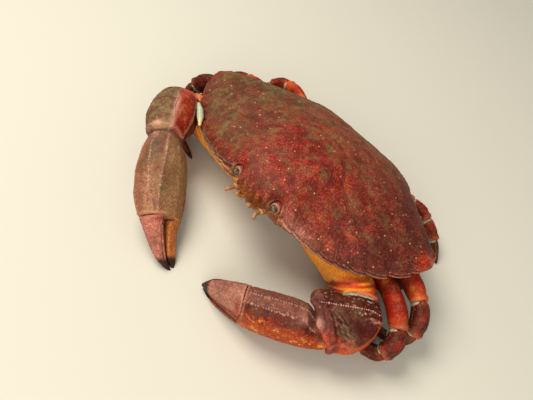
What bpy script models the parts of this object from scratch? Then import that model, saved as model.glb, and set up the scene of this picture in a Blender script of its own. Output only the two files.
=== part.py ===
# Red rock crab: a still, life-size model in a resting pose, with its claws closed in front of it.
# The crab stands on the plane z = 0, faces -Y and has its left side at +X.
# Sizes are in metres.  Places on the body are given to at() in millimetres: X from the midline to
# the crab's left, Y from the widest line of the shell to the rear, Z up from the floor.
import math

import bmesh
import bpy
from mathutils import Vector

MM = 0.001
GAP = 0.3                     # space between two pieces that touch

# Driving dimensions of the shell, in millimetres
SHELL_WIDTH = 150.0           # from the tip of one side tooth to the other
FRONT_REACH = 47.0            # widest line to the eyes
REAR_REACH = 41.0             # widest line to the rear edge
REAR_HALF = 28.0              # half the length of the straight rear edge
REAR_ROUND = 2.2              # how softly the edge turns at its two ends
FRONT_BEND = 2.09             # power of the curve of the front edge
SIDE_HEIGHT = 34.0            # side teeth above the floor
EYE_RISE = 4.9                # how far the edge at the eyes is above the side teeth
EDGE_DIP = -5.1               # how far the edge between them drops
REAR_DROP = -13.5             # rear edge below the side teeth
DOME_RISE = 18.3              # top of the shell above its edges
FRONT_LEAD = 3.6              # how far the front between the eyes stands ahead of the edge
FRONT_SPAN = 10.5             # half its length
EDGE_THICK = 2.2              # thickness of the rim
FACE_DEPTH = 4.6              # how much deeper the rim is over the face
FACE_SPAN = 23.0              # half the length of that part
SEAT_HEIGHT = 22.0            # flat underside of the shell that sits on the trunk
SEAT_SHARES = (0.45, 0.60, 0.80)   # the seat's outline as shares of the shell's: side, front, rear
HUB_Y = -3.0                  # the shell's rings are drawn round this place on the midline
DOME_POWERS = (2.4, 0.72, 0.55)    # how full the dome is: across, at its sides, along

# Side teeth, from the one behind the eye to the corner: tip, as a distance from the midline
TOOTH_TIPS = (24.5, 31.3, 38.3, 46.3, 52.8, 59.4, 66.3, 71.8, 74.9)
TOOTH_DEPTHS = (1.0, 1.2, 1.4, 1.5, 1.6, 1.8, 2.1, 2.6, 3.2)

# Driving dimensions of the limbs, in millimetres
LEG_HIGH = 6.4                # half height of a walking leg's first length
LEG_THICK = 4.3               # half thickness of the same
ARM_HIGH = 9.6                # half height of an arm's first length
HAND_LENGTH = 60.0            # wrist to finger tip, along the palm
SHOULDER_AT = 0.08            # where a raised palm top stands highest, as a share of the hand
SHOULDER_SPREAD = 0.12        # half the length of that rise, as the same share
SLENDER_AT = 0.74             # where slender fingers are most narrowed, as a share of the hand
SLENDER_SPREAD = 0.22         # half the length of that narrowing, as the same share
SPINE_ROOT = 6.6              # radius of the spine at the inner corner of an arm's wrist length
PALM_HIGH = 12.2              # half height of the palm
PALM_THICK = 8.3              # half thickness of the palm
EYE_RADIUS = 1.9

# The body's widest line stands here in the frame of the whole model
PLACE_X = 0.54
PLACE_Y = 23.67

MAROON = (0.16, 0.022, 0.026)
SCARLET = (0.42, 0.035, 0.014)
ORANGE = (0.55, 0.16, 0.03)
MAUVE = (0.28, 0.11, 0.12)
CREAM = (0.62, 0.42, 0.24)
DARK = (0.03, 0.028, 0.022)


def at(x, y, z):
    """A place on the body, in millimetres, as a point of the model in metres."""
    return Vector(((x + PLACE_X) * MM, (y + PLACE_Y) * MM, z * MM))


def mix(a, b, share):
    return a + (b - a) * share


def profile(stations, share):
    """Read a row of sizes between the stations of a table, smoothly."""
    last = stations[0]
    for station in stations[1:]:
        if share <= station[0]:
            step = (share - last[0]) / (station[0] - last[0])
            soft = step * step * (3.0 - 2.0 * step)
            return tuple(mix(p, q, soft) for p, q in zip(last[1:], station[1:]))
        last = station
    return last[1:]


def finish(name, colour, roughness=0.45):
    material = bpy.data.materials.new(name)
    material.use_nodes = True
    shader = material.node_tree.nodes["Principled BSDF"]
    shader.inputs["Base Color"].default_value = (*colour, 1.0)
    shader.inputs["Roughness"].default_value = roughness
    shader.inputs["Metallic"].default_value = 0.0
    return material


def add_mesh(name, points, faces, colour, roughness=0.45, home=None, grow=0.0):
    """One closed mesh object from points and faces, turned outward; grow pushes its surface out."""
    mesh = bpy.data.meshes.new(name)
    mesh.from_pydata(points, [], faces)
    cage = bmesh.new()
    cage.from_mesh(mesh)
    bmesh.ops.recalc_face_normals(cage, faces=cage.faces)
    if grow:
        cage.normal_update()
        moves = [(vert, vert.normal.copy()) for vert in cage.verts]
        for vert, out in moves:
            vert.co += out * grow * MM
    cage.to_mesh(mesh)
    cage.free()
    mesh.shade_smooth()
    mesh.set_sharp_from_angle(angle=math.radians(40.0))
    mesh.materials.append(finish(name, colour, roughness))
    thing = bpy.data.objects.new(name, mesh)
    (home or PARTS).objects.link(thing)
    return thing


def loft(name, rings, colour, roughness=0.45, home=None, grow=0.0):
    """Skin a row of closed rings that all have the same number of points, with a cap at each end."""
    count = len(rings[0])
    points = [point for ring in rings for point in ring]
    faces = []
    for row in range(len(rings) - 1):
        for k in range(count):
            nxt = (k + 1) % count
            a, b = row * count + k, row * count + nxt
            faces.append((a, b, b + count, a + count))
    for row, ring in ((0, rings[0]), (len(rings) - 1, rings[-1])):
        middle = len(points)
        points.append(sum(ring, Vector()) / count)
        for k in range(count):
            faces.append((row * count + k, row * count + (k + 1) % count, middle))
    return add_mesh(name, points, faces, colour, roughness, home, grow)


def section(middle, along, dorsal, sizes, sides):
    """One ring round a limb, flattened where it meets the floor.  sizes are the half height up, half
    height down, half thickness, and the boxiness of the outline."""
    up, down, thick, power = sizes
    along = along.normalized()
    high = (dorsal - along * dorsal.dot(along)).normalized()
    side = along.cross(high)
    ring = []
    for k in range(sides):
        turn = 2.0 * math.pi * (k + 0.5) / sides
        c, s = math.cos(turn), math.sin(turn)
        u = math.copysign(abs(c) ** (2.0 / power), c) * (up if c > 0 else down)
        v = math.copysign(abs(s) ** (2.0 / power), s) * thick
        point = middle + high * (u * MM) + side * (v * MM)
        point.z = max(point.z, 0.0)
        ring.append(point)
    return ring


def curve_point(p, q, p_along, q_along, share):
    """A point and a direction on the smooth curve from p to q that starts along p_along."""
    size = (q - p).length
    a, b = p_along * size, q_along * size
    s, s2, s3 = share, share ** 2, share ** 3
    point = (p * (2 * s3 - 3 * s2 + 1) + a * (s3 - 2 * s2 + s)
             + q * (3 * s2 - 2 * s3) + b * (s3 - s2))
    along = (p * (6 * s2 - 6 * s) + a * (3 * s2 - 4 * s + 1)
             + q * (6 * s - 6 * s2) + b * (3 * s2 - 2 * s))
    return point, along.normalized()


def limb_length(name, ends, dorsals, stations, colour, steps=6, sides=12, last=False,
                bulge=Vector()):
    """One length of a limb, between two joints.  ends holds each joint's point and direction, and
    bulge moves the middle of the length to one side."""
    (p, p_along), (q, q_along) = ends
    rings = []
    for step in range(steps + 1):
        share = step / steps
        point, along = curve_point(p, q, p_along, q_along, share)
        if step == 0:
            point = point + along * (0.5 * GAP * MM)
        if step == steps and not last:
            point = point - along * (0.5 * GAP * MM)
        point = point + bulge * (math.sin(math.pi * share) ** 2 * MM)
        dorsal = dorsals[0].lerp(dorsals[1], share)
        rings.append(section(point, along, dorsal, profile(stations, share), sides))
    return loft(name, rings, colour)


def joints_of(places, bends, start=None):
    """Joint points with the direction of the limb through each, halfway between its two lengths.
    start is the direction in which the limb leaves the first joint."""
    points = [at(*place) for place in places]
    joints = []
    for k, point in enumerate(points):
        before = (point - points[k - 1]).normalized() if k else None
        after = (points[k + 1] - point).normalized() if k + 1 < len(points) else None
        share = bends[k]
        if before is None:
            along = start.normalized() if start else after
        elif after is None:
            along = before
        else:
            along = before.lerp(after, share).normalized()
        joints.append((point, along))
    return joints


def keep_largest(mesh):
    """Remove every separate surface of a mesh but the one with the most faces."""
    cage = bmesh.new()
    cage.from_mesh(mesh)
    left = set(cage.verts)
    surfaces = []
    while left:
        todo = [left.pop()]
        found = list(todo)
        while todo:
            for edge in todo.pop().link_edges:
                for vert in edge.verts:
                    if vert in left:
                        left.remove(vert)
                        todo.append(vert)
                        found.append(vert)
        surfaces.append(found)
    surfaces.sort(key=len)
    for small in surfaces[:-1]:
        bmesh.ops.delete(cage, geom=small, context="VERTS")
    cage.to_mesh(mesh)
    cage.free()


def fuse(thing, extras):
    """Join closed pieces into one body."""
    group = bpy.data.collections.new("to fuse")
    bpy.context.scene.collection.children.link(group)
    for extra in extras:
        for home in list(extra.users_collection):
            home.objects.unlink(extra)
        group.objects.link(extra)
    modifier = thing.modifiers.new("Fuse", "BOOLEAN")
    modifier.operation = "UNION"
    modifier.operand_type = "COLLECTION"
    modifier.collection = group
    modifier.solver = "EXACT"
    state = bpy.context.evaluated_depsgraph_get()
    mesh = bpy.data.meshes.new_from_object(thing.evaluated_get(state))
    thing.modifiers.remove(modifier)
    keep_largest(mesh)
    thing.data = mesh
    for extra in extras:
        bpy.data.objects.remove(extra, do_unlink=True)
    bpy.data.collections.remove(group)


def hide(thing):
    thing.hide_render = True
    thing.display_type = "WIRE"


def cut(thing, cutter):
    modifier = thing.modifiers.new("Cut by " + cutter.name, "BOOLEAN")
    modifier.operation = "DIFFERENCE"
    modifier.object = cutter
    modifier.solver = "EXACT"


# Shell

def front_edge(x):
    """How far the front edge of the shell lies ahead of its widest line."""
    share = min(abs(x) / (SHELL_WIDTH / 2.0), 1.0)
    return FRONT_REACH * (1.0 - share ** FRONT_BEND) ** (1.0 / FRONT_BEND)


def rear_edge(x):
    """How far the rear edge lies behind the widest line: straight, then slanting to the corner."""
    slant = REAR_REACH * (1.0 - (abs(x) - REAR_HALF) / (SHELL_WIDTH / 2.0 - REAR_HALF))
    apart = abs(slant - REAR_REACH) / REAR_ROUND
    return min(slant, REAR_REACH) - REAR_ROUND * math.log(1.0 + math.exp(-apart))


def front_height(x):
    """Height of the front edge: up at the eyes, down in the middle of the side, up at the corner."""
    eye, middle, corner = 14.0, 48.0, SHELL_WIDTH / 2.0
    x = max(abs(x), eye)
    rise = EYE_RISE * (x - middle) * (x - corner) / ((eye - middle) * (eye - corner))
    dip = EDGE_DIP * (x - eye) * (x - corner) / ((middle - eye) * (middle - corner))
    return SIDE_HEIGHT + rise + dip


# Low swellings of the shell: X (both sides), Y, half width, half length, height
SWELLINGS = (
    (0.0, -22.0, 10.0, 12.0, 0.9),
    (17.0, -24.0, 9.0, 9.0, 0.8),
    (0.0, 14.0, 9.0, 9.0, 1.0),
    (38.0, -4.0, 17.0, 15.0, 1.0),
    (24.0, 2.0, 4.0, 12.0, -0.9),
    (13.0, -6.0, 9.0, 3.5, -0.7),
)


def shell_top(x, y):
    """Height of the shell's upper face above the floor."""
    ahead, behind = plain_front(x), rear_edge(x)
    depth = min(max((y + ahead) / (ahead + behind), 0.0), 1.0)
    across = min(abs(x) / (SHELL_WIDTH / 2.0), 1.0)
    edge = mix(front_height(x), SIDE_HEIGHT + REAR_DROP * behind / REAR_REACH, depth)
    width_power, side_power, length_power = DOME_POWERS
    arch = (1.0 - across ** width_power) ** side_power
    arch *= (4.0 * depth * (1.0 - depth)) ** length_power
    relief = 0.0
    for px, py, wide, long, high in SWELLINGS:
        for side in ((1,) if px == 0.0 else (1, -1)):
            away = ((x - side * px) / wide) ** 2 + ((y - py) / long) ** 2
            relief += high * math.exp(-away)
    return edge + DOME_RISE * arch + relief * min(1.0, 4.0 * arch)


def plain_front(x):
    """The front edge with the low lead of the front between the eyes, without its teeth."""
    return front_edge(x) + FRONT_LEAD * math.exp(-(x / FRONT_SPAN) ** 4)


# Front teeth and the eye's notch: X and how far each stands out
FRONT_TEETH = ((0.0, 0.6), (2.1, -1.0), (4.2, 0.5), (6.2, -1.0), (8.4, 0.6), (10.0, -1.6),
               (12.6, -3.0), (15.0, -2.4), (16.6, 0.5))


def half_outline():
    """The left half of the shell's edge, from the middle of the front round to the rear, as rows of
    X, Y and how far the point stands out from the plain edge."""
    rows = [(x, -plain_front(x), out) for x, out in FRONT_TEETH]
    start = 17.8
    for tip, depth in zip(TOOTH_TIPS, TOOTH_DEPTHS):
        behind = 0.35 if tip > 70.0 else -0.05
        for share, out in ((0.0, -1.0), (0.28, -0.32), (0.62, 0.0), (1.0, behind)):
            x = mix(start, tip, share)
            rows.append((x, -plain_front(x), depth * out))
        start = tip
    for k in range(1, 10):
        share = k / 9.0
        hollow = 1.6 * math.sin(math.pi * share)
        x = mix(SHELL_WIDTH / 2.0 - 0.8, REAR_HALF, share)
        y = rear_edge(x) + 1.4 * (1.0 - share)
        rows.append((x - 0.66 * hollow, y - 0.75 * hollow, 0.0))
    for k in range(1, 6):
        x = REAR_HALF * (1.0 - k / 5.0)
        rows.append((x, rear_edge(x) + 0.6 * math.sin(math.pi * k / 10.0), 0.0))
    return rows


def shell_outline():
    """The whole edge, seen from above: plain point and point with its tooth."""
    half = half_outline()
    plain, toothed = [], []
    whole = half + [(-x, y, out) for x, y, out in reversed(half[1:-1])]
    for x, y, out in whole:
        size = math.hypot(x, y - HUB_Y)
        plain.append((x, y))
        toothed.append((x + x / size * out, y + (y - HUB_Y) / size * out))
    return plain, toothed


def edge_height(x, y):
    """Height of the edge at a point of the outline."""
    if y < 0.0:
        return front_height(x)
    return SIDE_HEIGHT + REAR_DROP * min(y / REAR_REACH, 1.0)


def rim_depth(x, y):
    """Thickness of the rim: deeper over the face, where it turns down round the eyes."""
    if y > 0.0:
        return EDGE_THICK
    return EDGE_THICK + FACE_DEPTH * math.exp(-(x / FACE_SPAN) ** 6)


def make_shell(name, grow=0.0, home=None):
    plain, toothed = shell_outline()
    count = len(plain)
    shares = (0.18, 0.36, 0.54, 0.70, 0.83, 0.925, 0.975)
    rings = []
    for share in shares:
        ring = []
        for x, y in plain:
            px, py = x * share, (y - HUB_Y) * share + HUB_Y
            ring.append(at(px, py, shell_top(px, py)))
        rings.append(ring)
    edge = [(x, y, edge_height(x, y)) for x, y in toothed]
    rings.append([at(x, y, z + 0.4) for x, y, z in edge])
    rings.append([at(x * 0.99, y * 0.99, z - rim_depth(x, y)) for x, y, z in edge])
    for step, fall in ((0.18, 0.10), (0.55, 0.45), (1.0, 1.0)):
        ring = []
        for x, y in plain:
            z = mix(edge_height(x, y) - rim_depth(x, y) - 0.5, SEAT_HEIGHT, fall)
            across = mix(1.0, SEAT_SHARES[0], step)
            along = mix(1.0, SEAT_SHARES[1 if y < HUB_Y else 2], step)
            ring.append(at(x * across, (y - HUB_Y) * along + HUB_Y, z))
        rings.append(ring)
    points = [point for ring in rings for point in ring]
    faces = []
    for row in range(len(rings) - 1):
        for k in range(count):
            nxt = (k + 1) % count
            a, b = row * count + k, row * count + nxt
            faces.append((a, b, b + count, a + count))
    top, bottom = len(points), len(points) + 1
    points += [at(0.0, HUB_Y, shell_top(0.0, HUB_Y)), at(0.0, HUB_Y, SEAT_HEIGHT)]
    last = (len(rings) - 1) * count
    for k in range(count):
        nxt = (k + 1) % count
        faces.append((k, nxt, top))
        faces.append((last + k, last + nxt, bottom))
    return add_mesh(name, points, faces, MAROON, 0.4, home, grow)


# Trunk

def trunk_ring(z, half, ahead, behind, power=2.8, sides=40):
    ring = []
    middle, reach = (behind - ahead) / 2.0, (behind + ahead) / 2.0
    for k in range(sides):
        turn = 2.0 * math.pi * k / sides
        c, s = math.cos(turn), math.sin(turn)
        x = math.copysign(abs(c) ** (2.0 / power), c) * half
        y = math.copysign(abs(s) ** (2.0 / power), s) * reach + middle
        ring.append(at(x, y, z))
    return ring


def make_trunk(name, grow=0.0, home=None):
    rings = [trunk_ring(SEAT_HEIGHT - GAP, 30.0, 27.0, 28.5),
             trunk_ring(16.0, 30.0, 27.0, 30.0),
             trunk_ring(10.0, 27.0, 26.0, 30.0),
             trunk_ring(6.0, 23.0, 24.0, 28.0),
             trunk_ring(4.0, 18.0, 21.0, 25.0)]
    return loft(name, rings, CREAM, 0.5, home, grow)


# The tail, folded under the trunk: the joints of its plates, as path point (Y, Z), half width and
# half thickness
TAIL_JOINTS = ((38.6, 17.2, 15.0, 1.2), (38.2, 10.6, 15.5, 1.5), (35.0, 5.4, 14.5, 1.4),
               (28.0, 2.4, 12.6, 1.2), (19.0, 2.0, 10.4, 1.1), (9.5, 2.0, 8.0, 1.1),
               (-1.0, 2.0, 5.4, 1.0), (-9.5, 2.0, 1.6, 0.7))
PLATE_RISE = 0.45             # how far the rear edge of a tail plate stands over the next plate


def make_tail(name):
    rings = []
    for k, (y, z, wide, thick) in enumerate(TAIL_JOINTS):
        before = TAIL_JOINTS[max(k - 1, 0)]
        after = TAIL_JOINTS[min(k + 1, len(TAIL_JOINTS) - 1)]
        along = Vector((0.0, after[0] - before[0], after[1] - before[1])).normalized()
        steps = ((0.0, 0.0),) if k in (0, len(TAIL_JOINTS) - 1) else ((-0.35, 1.0), (0.35, 0.0))
        for shift, raised in steps:
            rise = raised * PLATE_RISE
            rings.append(section(at(0.0, y, z) + along * (shift * MM), along,
                                 Vector((1.0, 0.0, 0.0)),
                                 (wide + rise, wide + rise, thick + rise, 3.0), 16))
    return loft(name, rings, CREAM, 0.5)


# Legs: joints from hip to tip, as X (away from the midline), Y and Z
LEFT_LEGS = (
    ((22, -8, 10), (85, -30, 16.5), (86.5, -39, 9.5), (78, -41, 4.4), (58, -36, 0.3)),
    ((22, 3, 10), (82, -12, 19), (89, -21, 10.5), (83, -27, 4.6), (64, -24, 0.3)),
    ((22, 14, 10), (62, 9, 16), (68, 2, 9.5), (65, -6, 4.6), (50, -15, 0.3)),
    ((16, 23, 10), (41, 37, 15), (52, 38, 12), (62, 36, 7), (71, 31, 0.3)),
)
RIGHT_LEGS = (
    ((22, -8, 10), (73, -9, 15), (80, -18, 9), (74, -29, 4.6), (55, -34, 0.3)),
    ((22, 3, 10), (80, 1, 19), (90, -5, 12), (88, -12, 5.4), (73, -9, 0.3)),
    ((22, 14, 10), (73, 18, 20), (82, 13, 14), (84, 5, 7.5), (77, -7, 0.3)),
    ((16, 23, 10), (58, 38, 19), (67, 35, 13.5), (71, 28, 7.5), (71, 15, 0.3)),
)
LEG_NAMES = ("leg_1", "leg_2", "leg_3", "leg_4")
LEG_SCALES = (1.0, 1.0, 0.95, 0.86)
LEG_STARTS = ((1.0, 0.05, 0.06), (1.0, 0.08, 0.08), (1.0, 0.2, 0.06), (0.9, 0.5, 0.05))

# Each length's sizes, as shares of the leg's half height and half thickness along its length
LEG_PARTS = (
    ("merus", 7, ((0.0, 0.62, 0.66, 0.80), (0.2, 0.72, 0.76, 0.86), (0.6, 0.98, 1.0, 1.0),
                  (0.88, 1.0, 1.02, 1.06), (1.0, 0.80, 0.84, 0.94))),
    ("carpus", 5, ((0.0, 0.78, 0.80, 0.90), (0.35, 0.94, 0.9, 1.02), (0.8, 0.92, 0.88, 0.98),
                   (1.0, 0.72, 0.72, 0.84))),
    ("propodus", 5, ((0.0, 0.70, 0.70, 0.80), (0.4, 0.80, 0.78, 0.82), (0.85, 0.70, 0.66, 0.74),
                     (1.0, 0.56, 0.54, 0.62))),
    ("dactyl", 7, ((0.0, 0.50, 0.50, 0.58), (0.3, 0.44, 0.44, 0.52), (0.7, 0.28, 0.28, 0.36),
                   (0.92, 0.15, 0.15, 0.2), (1.0, 0.06, 0.06, 0.08))),
)
LEG_BENDS = (0.0, 0.5, 0.5, 0.5, 0.0)


def make_leg(side_name, side, name, places, scale, start):
    start = Vector((side * start[0], start[1], start[2]))
    joints = joints_of([(side * x, y, z) for x, y, z in places], LEG_BENDS, start)
    dorsal = Vector((0.0, -0.35, 1.0))
    for k, (part, steps, stations) in enumerate(LEG_PARTS):
        sizes = [(s, up * LEG_HIGH * scale, down * LEG_HIGH * scale, thick * LEG_THICK * scale, 2.3)
                 for s, up, down, thick in stations]
        piece = limb_length(f"{name}_{part}_{side_name}", joints[k:k + 2], (dorsal, dorsal), sizes,
                            SCARLET if k < 2 else MAROON, steps, 10, last=k == 3)
        if k == 0:
            cut(piece, TRUNK_CUTTER)


# Arms: hip, elbow, wrist and the point that the palm aims at, then the palm's top direction, its
# scale, how far the finger tips turn in and down, the root and tip of the wrist spine, how far the
# wrist length swells in millimetres, how much higher the palm's top is next to the wrist, and how
# much narrower the fingers are
ARMS = {
    "left": ((20, -22, 12), (65, -35, 16), (66, -57, 16.5), (16, -88, 12), (0.06, -0.1, 1.0), 1.0,
             9.0, 6.0, ((60, -46, 18.5), (49, -52, 20.5)), (1.4, 1.0, 0.6), 0.0, 0.0),
    "right": ((-20, -22, 12), (-70, -26, 20), (-55, -55, 28), (-30, -75, 15), (-0.29, -0.75, 0.6), 1.08,
              1.0, 2.4, ((-62, -44, 28), (-53, -42, 27)), (0.0, 2.0, 1.6), 0.36,
              0.30),
}
ARM_START = (0.9, -0.4, 0.05)
ARM_MERUS = ((0.0, 0.56, 0.56, 0.60), (0.3, 0.76, 0.72, 0.82), (0.75, 0.86, 0.84, 0.98),
             (1.0, 0.82, 0.80, 0.86))
ARM_CARPUS = ((0.0, 0.74, 0.80, 0.94), (0.3, 0.98, 0.96, 1.12), (0.7, 1.06, 1.0, 1.12),
              (1.0, 0.80, 0.76, 0.80))

# Palm and fingers: share of the hand's length, top, bottom and thickness as shares of the palm's,
# and how far the outline leans in (the fingers close inward and down)
PALM_STATIONS = ((0.0, 0.36, -0.62, 0.78), (0.10, 0.48, -0.78, 0.92), (0.20, 0.92, -0.95, 1.02),
                 (0.32, 1.03, -1.0, 1.04), (0.46, 1.03, -1.0, 1.0), (0.58, 0.98, -1.0, 0.92),
                 (0.635, 0.90, -0.98, 0.86),
                 (0.645, -0.20, -0.96, 0.74), (0.74, -0.24, -0.88, 0.60), (0.84, -0.30, -0.78, 0.46),
                 (0.93, -0.40, -0.68, 0.28), (0.98, -0.52, -0.62, 0.10))
FINGER_STATIONS = ((0.652, 0.86, -0.12, 0.80), (0.70, 0.86, -0.16, 0.68), (0.79, 0.68, -0.20, 0.54),
                   (0.88, 0.36, -0.24, 0.40), (0.95, 0.02, -0.32, 0.24), (1.0, -0.36, -0.46, 0.08))


def hand_ring(frame, station, sides, face=None):
    """One ring round the palm or a finger.  frame holds the wrist, the palm's three directions, its
    scale and how far the finger tips turn in and down."""
    origin, along, high, inner, scale, sweep, fall = frame
    share, top, bottom, thick = station
    bend = max(0.0, (share - 0.5) / 0.5)
    inward = sweep * bend ** 1.6
    drop = -fall * bend ** 1.6
    middle = origin + along * (share * HAND_LENGTH * scale * MM)
    middle = middle + inner * (inward * scale * MM) + high * (drop * scale * MM)
    centre = 0.5 * (top + bottom) * PALM_HIGH * scale
    reach = 0.5 * (top - bottom) * PALM_HIGH * scale
    ring = []
    for k in range(sides):
        turn = 2.0 * math.pi * (k + 0.5) / sides
        c, s = math.cos(turn), math.sin(turn)
        u = math.copysign(abs(c) ** (2.0 / 2.4), c) * reach
        v = math.copysign(abs(s) ** (2.0 / 2.4), s) * thick * PALM_THICK * scale
        offset = high * ((centre + u) * MM) + inner * (v * MM)
        if face is not None:
            offset -= along * (offset.dot(face) / along.dot(face))
        point = middle + offset
        point.z = max(point.z, 0.0)
        ring.append(point)
    return ring


def hand_sizes(stations, shoulder, slender):
    """A hand's stations with its palm's top raised next to the wrist and its fingers narrowed."""
    sizes = []
    for share, top, bottom, thick in stations:
        narrowed = slender * max(0.0, 1.0 - abs(share - SLENDER_AT) / SLENDER_SPREAD)
        if top > 0.0:
            top += shoulder * max(0.0, 1.0 - abs(share - SHOULDER_AT) / SHOULDER_SPREAD) - narrowed
        if bottom < -0.5:
            bottom += narrowed
        sizes.append((share, top, bottom, thick))
    return sizes


def make_spine(name, root, tip):
    """The blunt spine at the inner corner of the wrist length."""
    start, end = at(*root), at(*tip)
    along = (end - start).normalized()
    rings = []
    for share, size in ((0.0, 1.0), (0.5, 0.86), (0.8, 0.6), (0.95, 0.34), (1.0, 0.14)):
        wide = size * SPINE_ROOT
        rings.append(section(start.lerp(end, share), along, Vector((0.0, 0.0, 1.0)),
                             (wide * 0.9, wide * 0.9, wide, 2.2), 12))
    return loft(name, rings, MAROON)


def make_arm(side_name, side):
    hip, elbow, wrist, aim, top, scale, sweep, fall, spine, bulge, shoulder, slender = ARMS[side_name]
    start = Vector((side * ARM_START[0], ARM_START[1], ARM_START[2]))
    joints = joints_of((hip, elbow, wrist, aim), (0.0, 0.5, 0.5, 0.0), start)
    up = Vector((0.0, -0.15, 1.0))
    merus = [(s, u * ARM_HIGH * scale, d * ARM_HIGH * scale, t * ARM_HIGH * scale, 2.4)
             for s, u, d, t in ARM_MERUS]
    piece = limb_length(f"arm_merus_{side_name}", joints[0:2], (up, up), merus, ORANGE, 6, 14)
    cut(piece, TRUNK_CUTTER)
    cut(piece, SHELL_CUTTER)
    palm_up = Vector(top)
    carpus = [(s, u * ARM_HIGH * scale, d * ARM_HIGH * scale, t * ARM_HIGH * scale, 3.0)
              for s, u, d, t in ARM_CARPUS]
    piece = limb_length(f"arm_carpus_{side_name}", joints[1:3], (up, up.lerp(palm_up, 0.5)), carpus,
                        MAROON, 6, 16, bulge=Vector(bulge))
    fuse(piece, [make_spine("spine_" + side_name, *spine)])
    origin, face = joints[2]
    along = (joints[3][0] - origin).normalized()
    high = (palm_up - along * palm_up.dot(along)).normalized()
    inner = along.cross(high) * side
    frame = (origin, along, high, inner, scale, sweep, fall)
    seat = (origin + along * (0.5 * GAP * MM), *frame[1:])
    stations = hand_sizes(PALM_STATIONS, shoulder, slender)
    rings = [hand_ring(seat, stations[0], 16, face)]
    rings += [hand_ring(frame, station, 16) for station in stations[1:]]
    loft(f"palm_{side_name}", rings, MAUVE)
    stations = hand_sizes(FINGER_STATIONS, shoulder, slender)
    rings = [hand_ring(frame, station, 12) for station in stations]
    loft(f"finger_{side_name}", rings, MAUVE)


# Face: eyes in their sockets, feelers and the outer mouth plates

EYE_PLACE = (12.9, -47.0, SIDE_HEIGHT + EYE_RISE - 0.3)
STALK_HALVES = (2.9, 4.0, 2.6)


def ball(name, middle, halves, colour, roughness=0.3, grow=0.0, home=None, segments=16, rows=10):
    cage = bmesh.new()
    bmesh.ops.create_uvsphere(cage, u_segments=segments, v_segments=rows, radius=1.0)
    for vert in cage.verts:
        vert.co = middle + Vector([(h + grow) * MM * c for h, c in zip(halves, vert.co)])
    mesh = bpy.data.meshes.new(name)
    cage.to_mesh(mesh)
    cage.free()
    mesh.shade_smooth()
    mesh.materials.append(finish(name, colour, roughness))
    thing = bpy.data.objects.new(name, mesh)
    (home or PARTS).objects.link(thing)
    return thing


def make_eye(side_name, side, shell):
    x, y, z = EYE_PLACE
    eye = at(side * x, y, z)
    stalk = at(side * (x - 0.3), y + 2.6, z - 0.5)
    socket = ball("socket_" + side_name, stalk, STALK_HALVES, DARK, 0.5, GAP, CUTTERS)
    hide(socket)
    eye_room = ball("eye_room_" + side_name, eye, (EYE_RADIUS,) * 3, DARK, 0.5, GAP, CUTTERS)
    hide(eye_room)
    cut(shell, socket)
    cut(shell, eye_room)
    base = ball("eyestalk_" + side_name, stalk, STALK_HALVES, CREAM)
    cut(base, eye_room)
    ball("eye_" + side_name, eye, (EYE_RADIUS,) * 3, DARK, 0.15)


def feeler(name, places, sizes, colour):
    """A jointed feeler: thick at its base under the front of the shell, then a fine whip."""
    joints = joints_of(places, [0.5] * len(places))
    rings = []
    for (point, along), size in zip(joints, sizes):
        rings.append(section(point, along, Vector((0.1, 0.0, 1.0)), (size, size, size, 2.0), 8))
    piece = loft(name, rings, colour)
    cut(piece, SHELL_CUTTER)


def make_feelers(side_name, side):
    feeler(f"antenna_{side_name}",
           ((side * 8.6, -45.0, 34.6), (side * 8.8, -50.2, 34.4), (side * 8.7, -51.8, 34.8),
            (side * 8.9, -53.8, 35.2), (side * 9.8, -55.8, 34.6)),
           (2.0, 1.8, 0.75, 0.5, 0.28), CREAM)
    feeler(f"antennule_{side_name}",
           ((side * 3.2, -45.5, 34.0), (side * 3.2, -50.4, 33.4), (side * 3.4, -53.0, 34.8),
            (side * 4.0, -54.2, 37.2)),
           (1.5, 1.3, 0.6, 0.3), CREAM)


def make_mouth_plate(side_name, side):
    """Outer mouth plate: broad and flat over the mouth, hinged at the front of the trunk."""
    places = ((side * 5.3, -20.0, 5.2), (side * 5.3, -28.0, 8.4), (side * 5.2, -33.0, 15.0),
              (side * 5.0, -36.5, 21.0), (side * 4.6, -39.0, 25.4))
    sizes = ((4.2, 1.6), (4.8, 1.9), (4.9, 1.8), (4.2, 1.5), (2.6, 1.0))
    joints = joints_of(places, [0.5] * len(places))
    rings = []
    for (point, along), (wide, thick) in zip(joints, sizes):
        rings.append(section(point, along, Vector((1.0, 0.0, 0.0)), (wide, wide, thick, 3.2), 12))
    piece = loft(f"mouth_plate_{side_name}", rings, CREAM)
    cut(piece, TRUNK_CUTTER)
    cut(piece, SHELL_CUTTER)


for old in list(bpy.data.objects):
    bpy.data.objects.remove(old, do_unlink=True)
PARTS = bpy.data.collections.new("red_rock_crab")
CUTTERS = bpy.data.collections.new("cutters")
for group in (PARTS, CUTTERS):
    bpy.context.scene.collection.children.link(group)

TRUNK_CUTTER = make_trunk("trunk_room", grow=GAP, home=CUTTERS)
SHELL_CUTTER = make_shell("shell_room", grow=GAP, home=CUTTERS)
hide(TRUNK_CUTTER)
hide(SHELL_CUTTER)

SHELL = make_shell("carapace")
make_trunk("thorax")
make_tail("abdomen")
for side_name, side in (("left", 1), ("right", -1)):
    make_eye(side_name, side, SHELL)
    make_feelers(side_name, side)
    make_mouth_plate(side_name, side)
    make_arm(side_name, side)
    legs = LEFT_LEGS if side > 0 else RIGHT_LEGS
    for leg_name, places, scale, start in zip(LEG_NAMES, legs, LEG_SCALES, LEG_STARTS):
        make_leg(side_name, side, leg_name, places, scale, start)
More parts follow.
